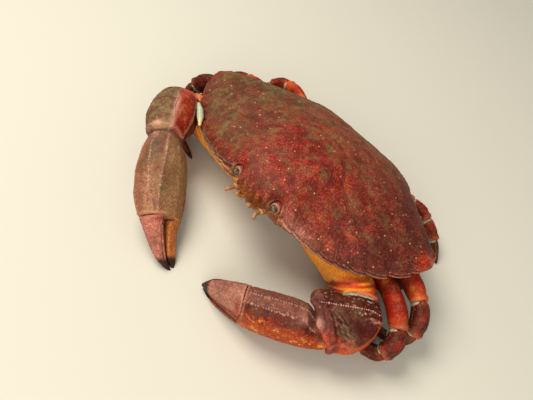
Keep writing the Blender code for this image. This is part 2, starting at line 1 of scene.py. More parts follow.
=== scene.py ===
# %% [markdown]
# # A red rock crab at rest
# A still, life-size crab: a broad domed shell, two claws folded in front of it and eight legs tucked
# at its sides.  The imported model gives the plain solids.  This lesson dresses them: every shell plate
# is rebuilt from the same sizes with many more points, so that it can carry real grains and ridges,
# and the soft joints, eyes and bristles are added.

# %% Load the frame
import math

import bmesh
import bpy
import numpy as np
from mathutils import Matrix, Vector


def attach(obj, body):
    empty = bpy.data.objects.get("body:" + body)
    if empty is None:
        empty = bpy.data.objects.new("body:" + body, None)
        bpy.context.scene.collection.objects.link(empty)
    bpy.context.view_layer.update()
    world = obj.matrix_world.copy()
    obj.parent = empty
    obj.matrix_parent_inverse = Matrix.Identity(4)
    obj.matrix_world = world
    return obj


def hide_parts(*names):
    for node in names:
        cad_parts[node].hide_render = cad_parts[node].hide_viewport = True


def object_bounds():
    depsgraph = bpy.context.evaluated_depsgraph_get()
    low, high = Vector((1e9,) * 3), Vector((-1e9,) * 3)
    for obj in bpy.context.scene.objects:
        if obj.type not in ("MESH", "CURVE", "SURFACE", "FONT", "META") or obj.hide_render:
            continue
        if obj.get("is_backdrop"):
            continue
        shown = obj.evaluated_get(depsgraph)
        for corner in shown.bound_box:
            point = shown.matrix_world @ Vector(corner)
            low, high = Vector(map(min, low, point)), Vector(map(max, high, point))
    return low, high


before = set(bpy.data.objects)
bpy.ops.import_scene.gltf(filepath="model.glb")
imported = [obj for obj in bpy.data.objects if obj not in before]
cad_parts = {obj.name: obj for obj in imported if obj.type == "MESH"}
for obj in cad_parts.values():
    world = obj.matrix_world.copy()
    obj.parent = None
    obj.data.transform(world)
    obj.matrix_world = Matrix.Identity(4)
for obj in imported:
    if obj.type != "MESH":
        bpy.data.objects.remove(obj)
cad_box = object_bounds()
print("nodes in the frame:", len(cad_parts))

# %% [markdown]
# ## Places and sizes
# All shapes are worked out in millimetres, in the crab's own frame: X to its left, Y to its rear, Z up
# from the floor, with the widest line of the shell at Y = 0.  One helper turns them into metres of the
# model.  Working on whole arrays of points keeps half a million of them quick.

# %% Millimetres to metres
MM = 0.001
PLACE = np.array((0.54, 23.67, 0.0))


def placed(points):
    return (np.asarray(points, float) + PLACE) * MM


def unit(v):
    v = np.asarray(v, float)
    return v / np.maximum(np.linalg.norm(v, axis=-1, keepdims=True), 1e-9)


def smooth(low, high, x):
    t = np.clip((np.asarray(x, float) - low) / (high - low), 0.0, 1.0)
    return t * t * (3.0 - 2.0 * t)


def bell(x, middle, width):
    return np.exp(-((np.asarray(x, float) - middle) / width) ** 2)


def mix(a, b, share):
    return a + (b - a) * share


print("the crab's middle stands at", placed((0.0, 0.0, 0.0)))

# %% [markdown]
# ## Camera
# The photograph looks down on the crab from ahead and to its left.  The camera's three directions were
# found by matching teeth, eyes and claws, so its matrix is written out instead of turned by eye.

# %% Camera
RIGHT = (0.6611, 0.7181, 0.2172)
DOWN = (0.6598, -0.4186, -0.6241)
AHEAD = (-0.3573, 0.5559, -0.7505)
EYE_POINT = (102.8, -195.0, 239.3)
PHOTO_WIDTH, FOCAL_PIXELS, SENSOR_WIDTH = 533.0, 600.0, 36.0


def shown(name, data):
    """A new object in the scene that shows a mesh, a lamp or a camera."""
    thing = bpy.data.objects.new(name, data)
    bpy.context.scene.collection.objects.link(thing)
    return thing


camera_data = bpy.data.cameras.new("camera")
camera_data.sensor_width = SENSOR_WIDTH
camera_data.lens = SENSOR_WIDTH * FOCAL_PIXELS / PHOTO_WIDTH
camera_data.clip_start, camera_data.clip_end = 0.01, 20.0
camera = shown("camera", camera_data)
axes = Matrix((RIGHT, [-v for v in DOWN], [-v for v in AHEAD])).transposed()
camera.matrix_world = Matrix.Translation(placed(EYE_POINT)) @ axes.to_4x4()
bpy.context.scene.camera = camera
bpy.context.scene.view_settings.view_transform = "Standard"
print("camera at", tuple(round(v, 3) for v in camera.location))

# %% [markdown]
# ## Light and floor
# One broad soft lamp stands behind the camera's left shoulder, as the daylight does in the photograph,
# with a weaker one from the other side, and a pale world fills the shadows.

# %% Lamps, world and floor
LAMP_AIM = (0.0, -20.0, 20.0)
FLOOR_REACH = 3.0


def lamp(name, place, size, power, colour):
    data = bpy.data.lights.new(name, "AREA")
    data.shape, data.size, data.energy, data.color = "DISK", size, power, colour
    thing = shown(name, data)
    thing.location = placed(place)
    thing.rotation_euler = Vector(placed(LAMP_AIM) - placed(place)).to_track_quat("-Z", "Y").to_euler()


def opaque(code):
    """A colour written as six hexadecimal figures, as linear red, green and blue with full cover."""
    parts = [int(code[k:k + 2], 16) / 255.0 for k in (0, 2, 4)]
    return (*(c / 12.92 if c < 0.04045 else ((c + 0.055) / 1.055) ** 2.4 for c in parts), 1.0)


def new_material(name):
    """A material, its node tree and the inputs of its Principled shader."""
    material = bpy.data.materials.new(name)
    material.use_nodes = True
    return material, material.node_tree, material.node_tree.nodes["Principled BSDF"].inputs


lamp("key", (-330.0, -120.0, 620.0), 0.42, 5.0, (1.0, 0.95, 0.84))
lamp("fill", (300.0, -500.0, 250.0), 0.60, 3.2, (1.0, 0.96, 0.88))
world = bpy.data.worlds.new("studio")
world.use_nodes = True
sky = world.node_tree.nodes["Background"].inputs
sky["Color"].default_value = (1.0, 0.97, 0.90, 1.0)
sky["Strength"].default_value = 0.36
bpy.context.scene.world = world
floor_material, _, look = new_material("pale floor")
look["Base Color"].default_value = opaque("ccc8bc")
look["Roughness"].default_value = 0.9
floor_mesh = bpy.data.meshes.new("floor")
floor_mesh.from_pydata([(x * FLOOR_REACH, y * FLOOR_REACH, 0) for x, y in ((-1, -1), (1, -1), (1, 1), (-1, 1))],
                       [], [(0, 1, 2, 3)])
floor_mesh.materials.append(floor_material)
floor = shown("floor", floor_mesh)
floor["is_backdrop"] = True
print("floor and", len(bpy.data.lights), "lamps")

# %% [markdown]
# ## Noise and grains
# Real shell is never even.  Two fields give its unevenness: a soft noise, and a field of small balls
# that a surface cuts through, which leaves rounded grains of many sizes, as on the crab's own shell.
# Both read only the place of a point, so neighbouring plates match.


# %% Random fields in space
def lottery(cells, seed):
    """A fixed random number from 0 to 1 for each whole-numbered place."""
    x, y, z = (cells[..., k].astype(np.int64) for k in range(3))
    number = (x * 374761393 + y * 668265263 + z * 2246822519 + seed * 974711) & 0xFFFFFFFF
    number = ((number ^ (number >> 13)) * 1274126177) & 0xFFFFFFFF
    return ((number ^ (number >> 16)) & 0xFFFFFFFF) / 4294967296.0


def noise(points, size, seed=0):
    """Soft noise from -1 to 1, with bumps about size millimetres apart."""
    p = np.asarray(points, float) / size
    base = np.floor(p).astype(np.int64)
    f = p - base
    f = f * f * (3.0 - 2.0 * f)
    total = np.zeros(p.shape[:-1])
    for dx in (0, 1):
        for dy in (0, 1):
            for dz in (0, 1):
                weight = np.abs(1 - dx - f[..., 0]) * np.abs(1 - dy - f[..., 1])
                weight = weight * np.abs(1 - dz - f[..., 2])
                total += weight * lottery(base + (dx, dy, dz), seed)
    return 2.0 * total - 1.0


def rough(points, size, seed=0):
    """Noise with finer noise on it."""
    return noise(points, size, seed) + 0.5 * noise(points, size / 2.1, seed + 7)


def grains(points, size, seed=0, small=0.28, large=0.62):
    """Height from 0 to 1 of rounded grains, about size millimetres apart."""
    p = np.asarray(points, float) / size
    base = np.floor(p).astype(np.int64)
    best = np.zeros(p.shape[:-1])
    for dx in (-1, 0, 1):
        for dy in (-1, 0, 1):
            for dz in (-1, 0, 1):
                cell = base + (dx, dy, dz)
                middle = cell + np.stack([lottery(cell, seed + k) for k in (1, 2, 3)], -1)
                size_here = small + (large - small) * lottery(cell, seed + 4) ** 2
                away = ((p - middle) ** 2).sum(-1) / size_here ** 2
                best = np.maximum(best, (1.0 - away) * size_here / large)
    return np.sqrt(np.clip(best, 0.0, 1.0))


print("noise at the middle:", round(float(noise(np.array([[0.3, 0.2, 0.1]]), 1.0)[0]), 3))

# %% [markdown]
# ## Finishes
# The shell's colour is painted on its points, zone by zone, as an attribute called tint, because it
# follows the anatomy.  A shader node group then breaks each zone up as real shell is: dark and bright
# mottles, pale grain tips, a worn olive film and pale lines.  The group hands back a colour, a roughness
# and a height, and each material keeps its own Principled shader.


# %% Helpers for nodes
def add_node(tree, kind, inputs=None, **settings):
    """A new node with its settings.  An input that is a socket is linked, any other is a value."""
    made = tree.nodes.new(kind)
    for key, value in settings.items():
        setattr(made, key, value)
    for key, value in (inputs or {}).items():
        if isinstance(value, bpy.types.NodeSocket):
            tree.links.new(value, made.inputs[key])
        else:
            made.inputs[key].default_value = value
    return made


def add_sockets(tree, way, kinds):
    """Sockets of a node group: for each name its kind and, for some, its first value."""
    for name, (kind, *value) in kinds.items():
        made = tree.interface.new_socket(name=name, in_out=way, socket_type="NodeSocket" + kind)
        if value:
            made.default_value = value[0]


def mixed(tree, share, a, b, way="MIX"):
    made = add_node(tree, "ShaderNodeMix", {0: share, 6: a, 7: b}, data_type="RGBA", blend_type=way)
    return made.outputs[2]


def maths(tree, way, a, b=0.0, clamp=False):
    return add_node(tree, "ShaderNodeMath", {0: a, 1: b}, operation=way, use_clamp=clamp).outputs[0]


def stretch(tree, value, low, high, to_low=0.0, to_high=1.0):
    made = add_node(tree, "ShaderNodeMapRange",
                    {"Value": value, "From Min": low, "From Max": high,
                     "To Min": to_low, "To Max": to_high}, interpolation_type="SMOOTHSTEP")
    return made.outputs["Result"]


def cloud(tree, where, scale, detail=3.0):
    made = add_node(tree, "ShaderNodeTexNoise",
                    {"Vector": where, "Scale": scale, "Detail": detail, "Roughness": 0.55})
    return made.outputs["Fac"]


def cells(tree, where, scale):
    """Distance to the nearest of many scattered middles, and a random colour for each of them."""
    made = add_node(tree, "ShaderNodeTexVoronoi", {"Vector": where, "Scale": scale}).outputs
    return made["Distance"], made["Color"]


print("node helpers ready")

# %% [markdown]
# ### The shell's mottling
# Noise at three scales darkens and brightens the tint.  Small cells give the grains: their middles are
# raised and paler.  Two sparser sets of cells give the tiny pale specks and dots.

# %% Shader group for shell
group = bpy.data.node_groups.new("Crab shell", "ShaderNodeTree")
add_sockets(group, "INPUT", {
    "Place": ("Vector",), "Tint": ("Color", (0.2, 0.05, 0.03, 1.0)),
    "Film colour": ("Color", opaque("7a6a42")), "Pale colour": ("Color", opaque("e0b49a")),
    "Film": ("Float", 0.0), "Pale": ("Float", 0.0), "Mottle": ("Float", 1.0),
    "Grain spacing mm": ("Float", 1.0), "Specks": ("Float", 0.5), "Gaps": ("Float", 0.6)})
add_sockets(group, "OUTPUT", {"Color": ("Color",), "Roughness": ("Float",), "Height": ("Float",)})
entry = add_node(group, "NodeGroupInput").outputs
place = entry["Place"]
MM_PER_METRE, SPECK_SCALE, DOT_SCALE = 1000.0, 330.0, 640.0


def times(a, b):
    return maths(group, "MULTIPLY", a, b)


def ramp(value, *limits):
    return stretch(group, value, *limits)


def toned(share, tone, factor):
    return mixed(group, share, tone, (*factor, 1.0), "MULTIPLY")


def draw_of(colour, channel):
    """One random number from a cell's random colour."""
    return add_node(group, "ShaderNodeSeparateColor", {"Color": colour}).outputs[channel]


broad, medium, fine = (cloud(group, place, *size) for size in ((120.0, 4.0), (420.0, 3.0), (1500.0, 2.0)))
dark = times(ramp(broad, 0.56, 0.40), entry["Mottle"])
bright = times(ramp(medium, 0.54, 0.70), entry["Mottle"])
tone = toned(times(dark, 0.62), entry["Tint"], (0.30, 0.22, 0.20))
tone = toned(times(bright, 0.55), tone, (1.9, 1.7, 1.6))
tone = toned(ramp(fine, 0.50, 0.32, 0.0, 0.45), tone, (0.42, 0.38, 0.38))
distance, _ = cells(group, place, maths(group, "DIVIDE", MM_PER_METRE, entry["Grain spacing mm"]))
grain, gap = ramp(distance, 0.55, 0.10), ramp(distance, 0.34, 0.62)
clear = ramp(broad, 0.38, 0.60, 0.62, 1.0)
tone = toned(times(times(gap, clear), entry["Gaps"]), tone, (0.36, 0.34, 0.32))
tone = toned(times(times(grain, 0.40), clear), tone, (1.85, 1.55, 1.45))
film = times(entry["Film"], ramp(medium, 0.36, 0.58, 0.35, 1.0))
tone = mixed(group, film, tone, entry["Film colour"])
distance, colour = cells(group, place, SPECK_SCALE)
speck = times(ramp(distance, 0.17, 0.08), ramp(draw_of(colour, "Red"), 0.46, 0.60))
distance, colour = cells(group, place, DOT_SCALE)
dot = times(ramp(distance, 0.20, 0.10), ramp(draw_of(colour, "Green"), 0.36, 0.80, 0.0, 0.7))
dot = times(dot, ramp(medium, 0.42, 0.60, 0.25, 1.0))
speck = times(maths(group, "MAXIMUM", speck, dot), entry["Specks"])
line = times(entry["Pale"], ramp(fine, 0.30, 0.52, 0.45, 1.0))
tone = mixed(group, maths(group, "MAXIMUM", speck, line), tone, entry["Pale colour"])
worn = maths(group, "ADD", times(film, 0.22), ramp(medium, 0.30, 0.70, 0.44, 0.62), clamp=True)
height = maths(group, "ADD", times(grain, 0.6), times(fine, 0.5))
add_node(group, "NodeGroupOutput", {"Color": tone, "Roughness": worn, "Height": height})
print("shell group nodes:", len(group.nodes))

# %% [markdown]
# ### Materials from the group
# One function makes every shell-like material.  Only the numbers differ: how strongly it is mottled, how
# far apart its grains are in millimetres, how many specks it has, how high its bumps and its gloss are,
# and the tones of its film and its pale marks.  Soft or hairy parts have one even roughness.

# %% Shell materials
BUMP_DISTANCE = 0.0003


def shell_material(name, mottle, grain_mm, specks, bump, gloss, film_code, pale_code, roughness=None):
    material, tree, look = new_material(name)
    tint, film, pale = (add_node(tree, "ShaderNodeAttribute", attribute_name=key).outputs
                        for key in ("tint", "film", "pale"))
    skin = add_node(tree, "ShaderNodeGroup", {
        "Place": add_node(tree, "ShaderNodeTexCoord").outputs["Object"],
        "Tint": tint["Color"], "Film": film["Fac"], "Pale": pale["Fac"],
        "Mottle": mottle, "Grain spacing mm": grain_mm, "Specks": specks, "Gaps": 0.75 * mottle,
        "Film colour": opaque(film_code), "Pale colour": opaque(pale_code)}, node_tree=group).outputs
    bumps = add_node(tree, "ShaderNodeBump", {"Height": skin["Height"], "Strength": bump,
                                              "Distance": BUMP_DISTANCE})
    tree.links.new(skin["Color"], look["Base Color"])
    tree.links.new(bumps.outputs["Normal"], look["Normal"])
    if roughness is None:
        tree.links.new(skin["Roughness"], look["Roughness"])
    else:
        look["Roughness"].default_value = roughness
    look["Specular IOR Level"].default_value = gloss
    return material


SHELL = shell_material("dark red shell", 1.0, 0.95, 0.7, 0.55, 0.13, "6a6038", "d09a7c")
CLAW = shell_material("claw shell", 0.65, 0.9, 0.25, 0.5, 0.13, "8a784c", "dc9f88")
UPPER_ARM = shell_material("orange upper arm", 0.22, 0.9, 0.1, 0.4, 0.16, "8a784c", "eab088")
LEG = shell_material("leg shell", 0.55, 0.8, 0.12, 0.4, 0.12, "6b5a3c", "e6b08e")
BELLY = shell_material("pale underside", 0.35, 1.1, 0.15, 0.3, 0.30, "8a7a50", "f0dcb8")
MEMBRANE = shell_material("joint skin", 0.3, 0.6, 0.0, 0.25, 0.40, "8a8a66", "dcd8c0", 0.35)
BRISTLE = shell_material("bristles", 0.2, 0.6, 0.0, 0.1, 0.20, "6b5a3c", "c8a878", 0.6)
KNOB = shell_material("knobs and grains", 0.4, 0.7, 0.1, 0.3, 0.40, "8a7a50", "f0c8b8", 0.35)
print("materials:", len(bpy.data.materials))

# %% [markdown]
# ### Tones
# The tones that are painted on the points, part by part, named for where they show.

# %% Tones of the parts
TONES = {name: np.array(opaque(code)[:3]) for name, code in {
    # shell
    "brick": "8c3c2c", "crimson": "982c24", "maroon": "5a221c", "blood red": "a82418",
    "orange blotch": "b8452a", "grey spot": "7c5c42", "rim red": "6e2018", "face orange": "c8742c",
    "below": "b89a72", "side tooth": "c0401e", "front tooth": "86281e", "between eyes": "9c5c2c",
    "rosy band": "bc7464", "face stripe": "7c3a1e",
    # legs
    "scarlet": "a8220a", "leg dark": "541a12", "leg tip": "74341e", "joint orange": "cc5420",
    "flame": "e07420", "leg below": "b86a4a", "claw tip": "3a2418",
    # upper arms
    "arm orange": "ff9c34", "arm yellow": "e8a548", "arm red": "c83414", "wine": "6e2626", "arm end": "b04a24",
    # wrist lengths
    "plum": "4c160f", "ridge brown": "5a2318", "warm plum": "6d2c24", "low orange": "b8461c",
    # hollow is painted shade along the rim of the left wrist length
    "low rust": "a0472a", "spine tip": "94604e", "knob red": "c2401a", "hollow": "401410", "lip pink": "9c5a50",
    "crease grey": "84745a", "top brown": "64392c", "strip red": "a03018", "strip orange": "b84a22",
    # near palm, far palm and both
    "palm maroon": "5e261c", "palm mauve": "824c3e", "palm orange": "a8400f", "palm red": "8c2c1a",
    "far tan": "a67456", "far dark": "6a5038", "far mottle": "6e4c3a", "far pink": "925048",
    "far olive": "5e4c34", "far ridge": "a0603f", "far low": "a4784e", "far under": "b06a34",
    "inner face": "a8704a", "palm knob": "c08474",
    # fixed fingers, then moving fingers
    "fixed left": "9a5a44", "fixed right": "bf6f34", "finger left": "a8705f", "finger right": "b8705e",
    "finger mottle": "8a5346", "finger root": "9a3424", "finger below": "a05a34",
    # beads, eyes and feelers
    "edge bead": "84382a", "palm bead": "7e4638", "wrist bead": "8a5444", "eyeball": "5a5a44",
    "stalk": "7a3426", "stalk collar": "b4705a", "antenna": "96582a", "antenna end": "a87440",
    "antenna whip": "9c6c3c", "antennule": "8e5228", "antennule end": "a87844",
    # underside
    "sternum": "c9a67c", "sternum mottle": "a8734e", "furrow": "8a5a3c", "tail": "c8a178",
    "tail root": "7a3c28", "tail edge": "e0c49c", "mouth": "b5794c", "mouth end": "93422a",
    # joint skins and bristles
    "skin": "a8a890", "fold shade": "77604c", "wrist skin": "7c5642", "elbow fold": "b4c0a2",
    "fold yellow": "d8c888", "bristle": "3a2418", "bristle tip": "96784a", "face bristle": "6a4428",
    "face bristle tip": "c8a468",
}.items()}


def plain(name, points):
    """One tone for all the points."""
    return np.broadcast_to(TONES[name], points.shape)


def painted(tint, *layers):
    """Paint tones over a tint in turn, each with its share at every point."""
    for name, share in layers:
        tint = tint + (TONES[name] - tint) * np.asarray(share, float)[..., None]
    return tint


print("tones:", len(TONES))

# %% [markdown]
# ## From arrays to pieces
# A plate is a grid of points: rows along it, columns round it.  These helpers turn grids into closed
# meshes, push them outward by a height, and store the tint and masks that the materials read.


# %% Grids and caps
def grid_faces(rows, columns):
    across = np.arange(columns)
    a = np.arange(rows - 1)[:, None] * columns + across
    b = np.arange(rows - 1)[:, None] * columns + (across + 1) % columns
    return np.stack((a, b, b + columns, a + columns), -1).reshape(-1, 4)


def grid_normals(grid):
    down = np.gradient(grid, axis=0)
    out = unit(np.cross(np.roll(grid, -1, axis=1) - np.roll(grid, 1, axis=1), down))
    away = grid - grid.mean(axis=1, keepdims=True)
    return out * np.where((out * away).sum() < 0.0, -1.0, 1.0)


def raised(grid, height):
    """The grid pushed outward by a height at each point."""
    return grid + grid_normals(grid) * height[..., None]


def fans(rows, columns, tips):
    """Triangles from a grid's first and last row to two single points."""
    faces = []
    for k in range(columns):
        faces.append((k, (k + 1) % columns, tips))
        faces.append(((rows - 1) * columns + k, (rows - 1) * columns + (k + 1) % columns, tips + 1))
    return faces


def capped(grid, rings=4, rise=0.0):
    """Close a grid at both ends with rings that shrink to a point; rise bulges the caps out."""
    first, last = grid[0], grid[-1]
    along = unit(last.mean(0) - first.mean(0))
    start, end = [], []
    for k in range(1, rings + 1):
        share = k / (rings + 1.0)
        high = rise * math.sin(0.5 * math.pi * share)
        start.insert(0, (mix(first, first.mean(0), share) - along * high)[None])
        end.append((mix(last, last.mean(0), share) + along * high)[None])
    whole = np.concatenate((*start, grid, *end))
    tips = np.array([first.mean(0) - along * rise, last.mean(0) + along * rise])
    points = np.concatenate((whole.reshape(-1, 3), tips))
    rows, columns = whole.shape[:2]
    return points, grid_faces(rows, columns).tolist() + fans(rows, columns, rows * columns)


def spread(values, rings):
    """Values of a grid for the points that capped() makes: the end rows are repeated."""
    values = np.asarray(values, float)
    body = np.concatenate([values[:1]] * rings + [values] + [values[-1:]] * rings, 0)
    flat = body.reshape((-1,) + values.shape[2:])
    return np.concatenate((flat, values[0].mean(0)[None], values[-1].mean(0)[None]))


print("grid tools ready")

# %% Pieces
PIECES = []


def turn_outward(mesh):
    """Make all faces of a closed mesh look outward."""
    cage = bmesh.new()
    cage.from_mesh(mesh)
    bmesh.ops.recalc_face_normals(cage, faces=cage.faces)
    cage.to_mesh(mesh)
    cage.free()


def make_piece(name, points, faces, tint, material, slot, nodes=(), film=0.0, pale=0.0, places_uv=None):
    """A piece of the model from points in millimetres, with its tint and masks stored on them."""
    mesh = bpy.data.meshes.new(name)
    points = np.maximum(points, (-np.inf, -np.inf, 0.0))
    mesh.from_pydata(placed(points).tolist(), [], faces)
    if places_uv is None:
        turn_outward(mesh)
    mesh.shade_smooth()
    count = len(points)
    colours = np.ones((count, 4))
    colours[:, :3] = np.clip(tint, 0.0, 1.0)
    layer = mesh.attributes.new("tint", "FLOAT_COLOR", "POINT")
    layer.data.foreach_set("color", colours.astype(np.float32).ravel())
    for key, values in (("film", film), ("pale", pale)):
        values = np.clip(np.broadcast_to(values, count), 0.0, 1.0)
        mesh.attributes.new(key, "FLOAT", "POINT").data.foreach_set("value", values.astype(np.float32))
    if places_uv is not None:
        corners = np.empty(len(mesh.loops), np.int32)
        mesh.loops.foreach_get("vertex_index", corners)
        places = places_uv[corners].astype(np.float32).ravel()
        mesh.uv_layers.new(name="OFBake").data.foreach_set("uv", places)
    mesh.materials.append(material)
    thing = shown(name, mesh)
    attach(thing, "root")
    if nodes:
        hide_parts(*nodes)
    PIECES.append(thing)


def make_plate(name, grid, tint, material, slot, nodes=(), film=0.0, pale=0.0, rings=3, rise=0.3):
    """A piece from a grid that is closed at both ends."""
    tint, film, pale = (spread(v, rings) if np.ndim(v) > 1 else v for v in (tint, film, pale))
    make_piece(name, *capped(grid, rings, rise), tint, material, slot, nodes, film, pale)


print("piece tools ready")

# %% [markdown]
# ## The broad shell
# The back shell is a dome over an outline with ten low lobes on each side.  The outline and the dome use
# the formulas of the solid model.  On top come what the naked eye sees: grooves that part the regions
# over stomach, heart and gills, a lobe behind each tooth with a notch line between, and grains.

# %% Outline of the shell
SHELL_WIDTH, FRONT_REACH, REAR_REACH, REAR_HALF, REAR_ROUND = 150.0, 47.0, 41.0, 28.0, 2.2
FRONT_BEND, SIDE_HEIGHT, EYE_RISE, EDGE_DIP, REAR_DROP = 2.09, 34.0, 4.9, -5.1, -13.5
DOME_RISE, FRONT_LEAD, FRONT_SPAN, HUB_Y, SEAT_HEIGHT = 18.3, 3.6, 10.5, -3.0, 22.0
TOOTH_TIPS = (24.5, 31.3, 38.3, 46.3, 52.8, 59.4, 66.3, 71.8, 74.9)
TOOTH_DEPTHS = (1.0, 1.2, 1.4, 1.5, 1.6, 1.8, 2.1, 2.6, 3.2)
FRONT_TEETH = ((0.0, 0.6), (2.1, -1.0), (4.2, 0.5), (6.2, -1.0), (8.4, 0.6), (10.0, -1.6),
               (12.6, -3.0), (15.0, -2.4), (16.6, 0.5), (17.8, -1.0))
HALF = SHELL_WIDTH / 2.0


def front_line(x):
    share = np.minimum(np.abs(x) / HALF, 1.0)
    arc = FRONT_REACH * (1.0 - share ** FRONT_BEND) ** (1.0 / FRONT_BEND)
    return arc + FRONT_LEAD * np.exp(-(np.asarray(x) / FRONT_SPAN) ** 4)


def rear_line(x):
    slant = REAR_REACH * (1.0 - (np.abs(x) - REAR_HALF) / (HALF - REAR_HALF))
    apart = np.abs(slant - REAR_REACH) / REAR_ROUND
    return np.minimum(slant, REAR_REACH) - REAR_ROUND * np.log(1.0 + np.exp(-apart))


def front_height(x):
    eye, middle = 14.0, 48.0
    x = np.maximum(np.abs(x), eye)
    rise = EYE_RISE * (x - middle) * (x - HALF) / ((eye - middle) * (eye - HALF))
    dip = EDGE_DIP * (x - eye) * (x - HALF) / ((middle - eye) * (middle - HALF))
    return SIDE_HEIGHT + rise + dip


def read(stations, s):
    """Read a table of sizes at s with curves that pass its rows and don't overshoot."""
    t = np.array([row[0] for row in stations], float)
    v = np.array([row[1:] for row in stations], float)
    h = np.diff(t)[:, None]
    slope = np.diff(v, axis=0) / h
    lean = np.zeros_like(v)
    lean[0], lean[-1] = slope[0], slope[-1]
    if len(t) > 2:
        w1, w2 = 2.0 * h[1:] + h[:-1], h[1:] + 2.0 * h[:-1]
        with np.errstate(divide="ignore", invalid="ignore"):
            joined = (w1 + w2) / (w1 / slope[:-1] + w2 / slope[1:])
        lean[1:-1] = np.where(slope[1:] * slope[:-1] > 0.0, joined, 0.0)
    s = np.clip(np.asarray(s, float), t[0], t[-1])
    k = np.clip(np.searchsorted(t, s, side="right") - 1, 0, len(t) - 2)
    step = h[k, 0][..., None]
    f = ((s - t[k])[..., None]) / step
    return (v[k] * (1 + 2 * f) * (1 - f) ** 2 + lean[k] * step * f * (1 - f) ** 2
            + v[k + 1] * f * f * (3 - 2 * f) + lean[k + 1] * step * f * f * (f - 1))


print("front line at the eyes:", round(float(front_line(13.0)), 2), "mm")

# %% Columns round the half outline
def half_columns():
    """Rows of x, y, how far the edge stands out there, and distance to the nearest notch."""
    rows = []
    for x in np.arange(0.0, 17.5, 0.42):
        rows.append((x, -float(front_line(x)), float(read(FRONT_TEETH, x)[0]), 9.0))
    start = 17.8
    for tip, depth in zip(TOOTH_TIPS, TOOTH_DEPTHS):
        width = tip - start
        steep = math.hypot(width, float(front_line(start) - front_line(tip)))
        count = max(int(steep / 0.5), 6)
        for k in range(count):
            share = mix(0.014, 0.986, k / (count - 1.0))
            x = mix(start, tip, share)
            rise = -depth * max(0.0, 1.0 - share / 0.6) ** 1.8
            droop = -0.45 * depth * max(0.0, (share - 0.88) / 0.12) ** 2
            if tip > 70.0:
                droop = 0.12 * depth * smooth(0.6, 1.0, share)
            rows.append((x, -float(front_line(x)), float(rise + droop),
                         min(share, 1.0 - share) * steep))
        start = tip
    for k in range(1, 51):
        share = k / 50.0
        hollow = 1.6 * math.sin(math.pi * share)
        x = mix(HALF - 0.8, REAR_HALF, share)
        y = float(rear_line(x)) + 1.4 * (1.0 - share)
        rows.append((x - 0.66 * hollow, y - 0.75 * hollow, 0.0, 9.0))
    for k in range(1, 29):
        x = REAR_HALF * (1.0 - k / 28.0)
        rows.append((x, float(rear_line(x)) + 0.6 * math.sin(math.pi * k / 56.0), 0.0, 9.0))
    return np.array(rows)


half = half_columns()
mirrored = half[1:-1][::-1] * np.array((-1.0, 1.0, 1.0, 1.0))
COLUMNS = np.concatenate((half, mirrored))
print("columns round the shell:", len(COLUMNS))

# %% [markdown]
# ### Grooves and swellings
# A groove is a bent line on the plan of the shell with a width and a depth.  Each point is pushed down
# by how near it is to the line.  Swellings are soft bells, in the places of the organs below.

# %% Height of the dome
# Swellings: place, half sizes and height.  Grooves: places along the line, half width and depth.
SWELLINGS = ((0.0, -22.0, 10.0, 12.0, 0.9), (17.0, -24.0, 9.0, 9.0, 0.8), (0.0, 14.0, 9.0, 9.0, 1.0),
             (38.0, -4.0, 17.0, 15.0, 1.0), (24.0, 2.0, 4.0, 12.0, -0.9), (13.0, -6.0, 9.0, 3.5, -0.7))
GROOVES = (
    (((3.0, 4.0), (8.0, 3.0), (14.0, -1.0), (19.0, -8.0), (25.0, -15.0), (36.0, -20.0), (50.0, -23.0)),
     1.7, 0.75),
    (((4.0, 5.0), (7.5, 11.0), (8.5, 19.0), (7.0, 27.0)), 1.8, 0.60),
    (((2.5, -36.0), (3.2, -27.0), (6.5, -17.0), (6.0, -8.0), (3.0, -1.0)), 1.4, 0.45),
    (((19.0, -5.0), (30.0, -4.0), (44.0, -8.0), (60.0, -8.0)), 2.2, 0.45),
    (((16.0, -37.0), (22.0, -31.0), (31.0, -29.0)), 1.5, 0.40),
    (((20.0, 8.0), (27.0, 17.0), (30.0, 27.0)), 2.4, 0.45),
)


def near_line(x, y, line):
    """Distance from points to a bent line on the plan."""
    best = np.full(np.shape(x), 1e9)
    for (ax, ay), (bx, by) in zip(line[:-1], line[1:]):
        length2 = (bx - ax) ** 2 + (by - ay) ** 2
        t = np.clip(((x - ax) * (bx - ax) + (y - ay) * (by - ay)) / length2, 0.0, 1.0)
        best = np.minimum(best, np.hypot(x - ax - t * (bx - ax), y - ay - t * (by - ay)))
    return best


def shell_height(x, y):
    ahead, behind = front_line(x), rear_line(x)
    depth = np.clip((y + ahead) / (ahead + behind), 0.0, 1.0)
    across = np.minimum(np.abs(x) / HALF, 1.0)
    edge = mix(front_height(x), SIDE_HEIGHT + REAR_DROP * behind / REAR_REACH, depth)
    arch = (1.0 - across ** 2.4) ** 0.72 * (4.0 * depth * (1.0 - depth)) ** 0.55
    relief = np.zeros(np.shape(x))
    for px, py, wide, long, high in SWELLINGS:
        for side in ((1,) if px == 0.0 else (1, -1)):
            relief += high * np.exp(-((x - side * px) / wide) ** 2 - ((y - py) / long) ** 2)
    return edge + DOME_RISE * arch + relief * np.minimum(1.0, 4.0 * arch)


def groove_depth(x, y):
    total = np.zeros(np.shape(x))
    for line, width, depth in GROOVES:
        total = np.maximum(total, depth * np.exp(-(near_line(np.abs(x), y, line) / width) ** 2))
    return total


print("top of the dome:", round(float(shell_height(np.array(0.0), np.array(0.0))), 1), "mm")

# %% [markdown]
# ### Building the shell
# Rings of shares run from the hub to the edge, closer together near the edge, where the dome falls
# steeply.  The teeth grow over the last few millimetres.  Then come the rounded rim, deeper over the
# face, and the underside down to the seat on the trunk.

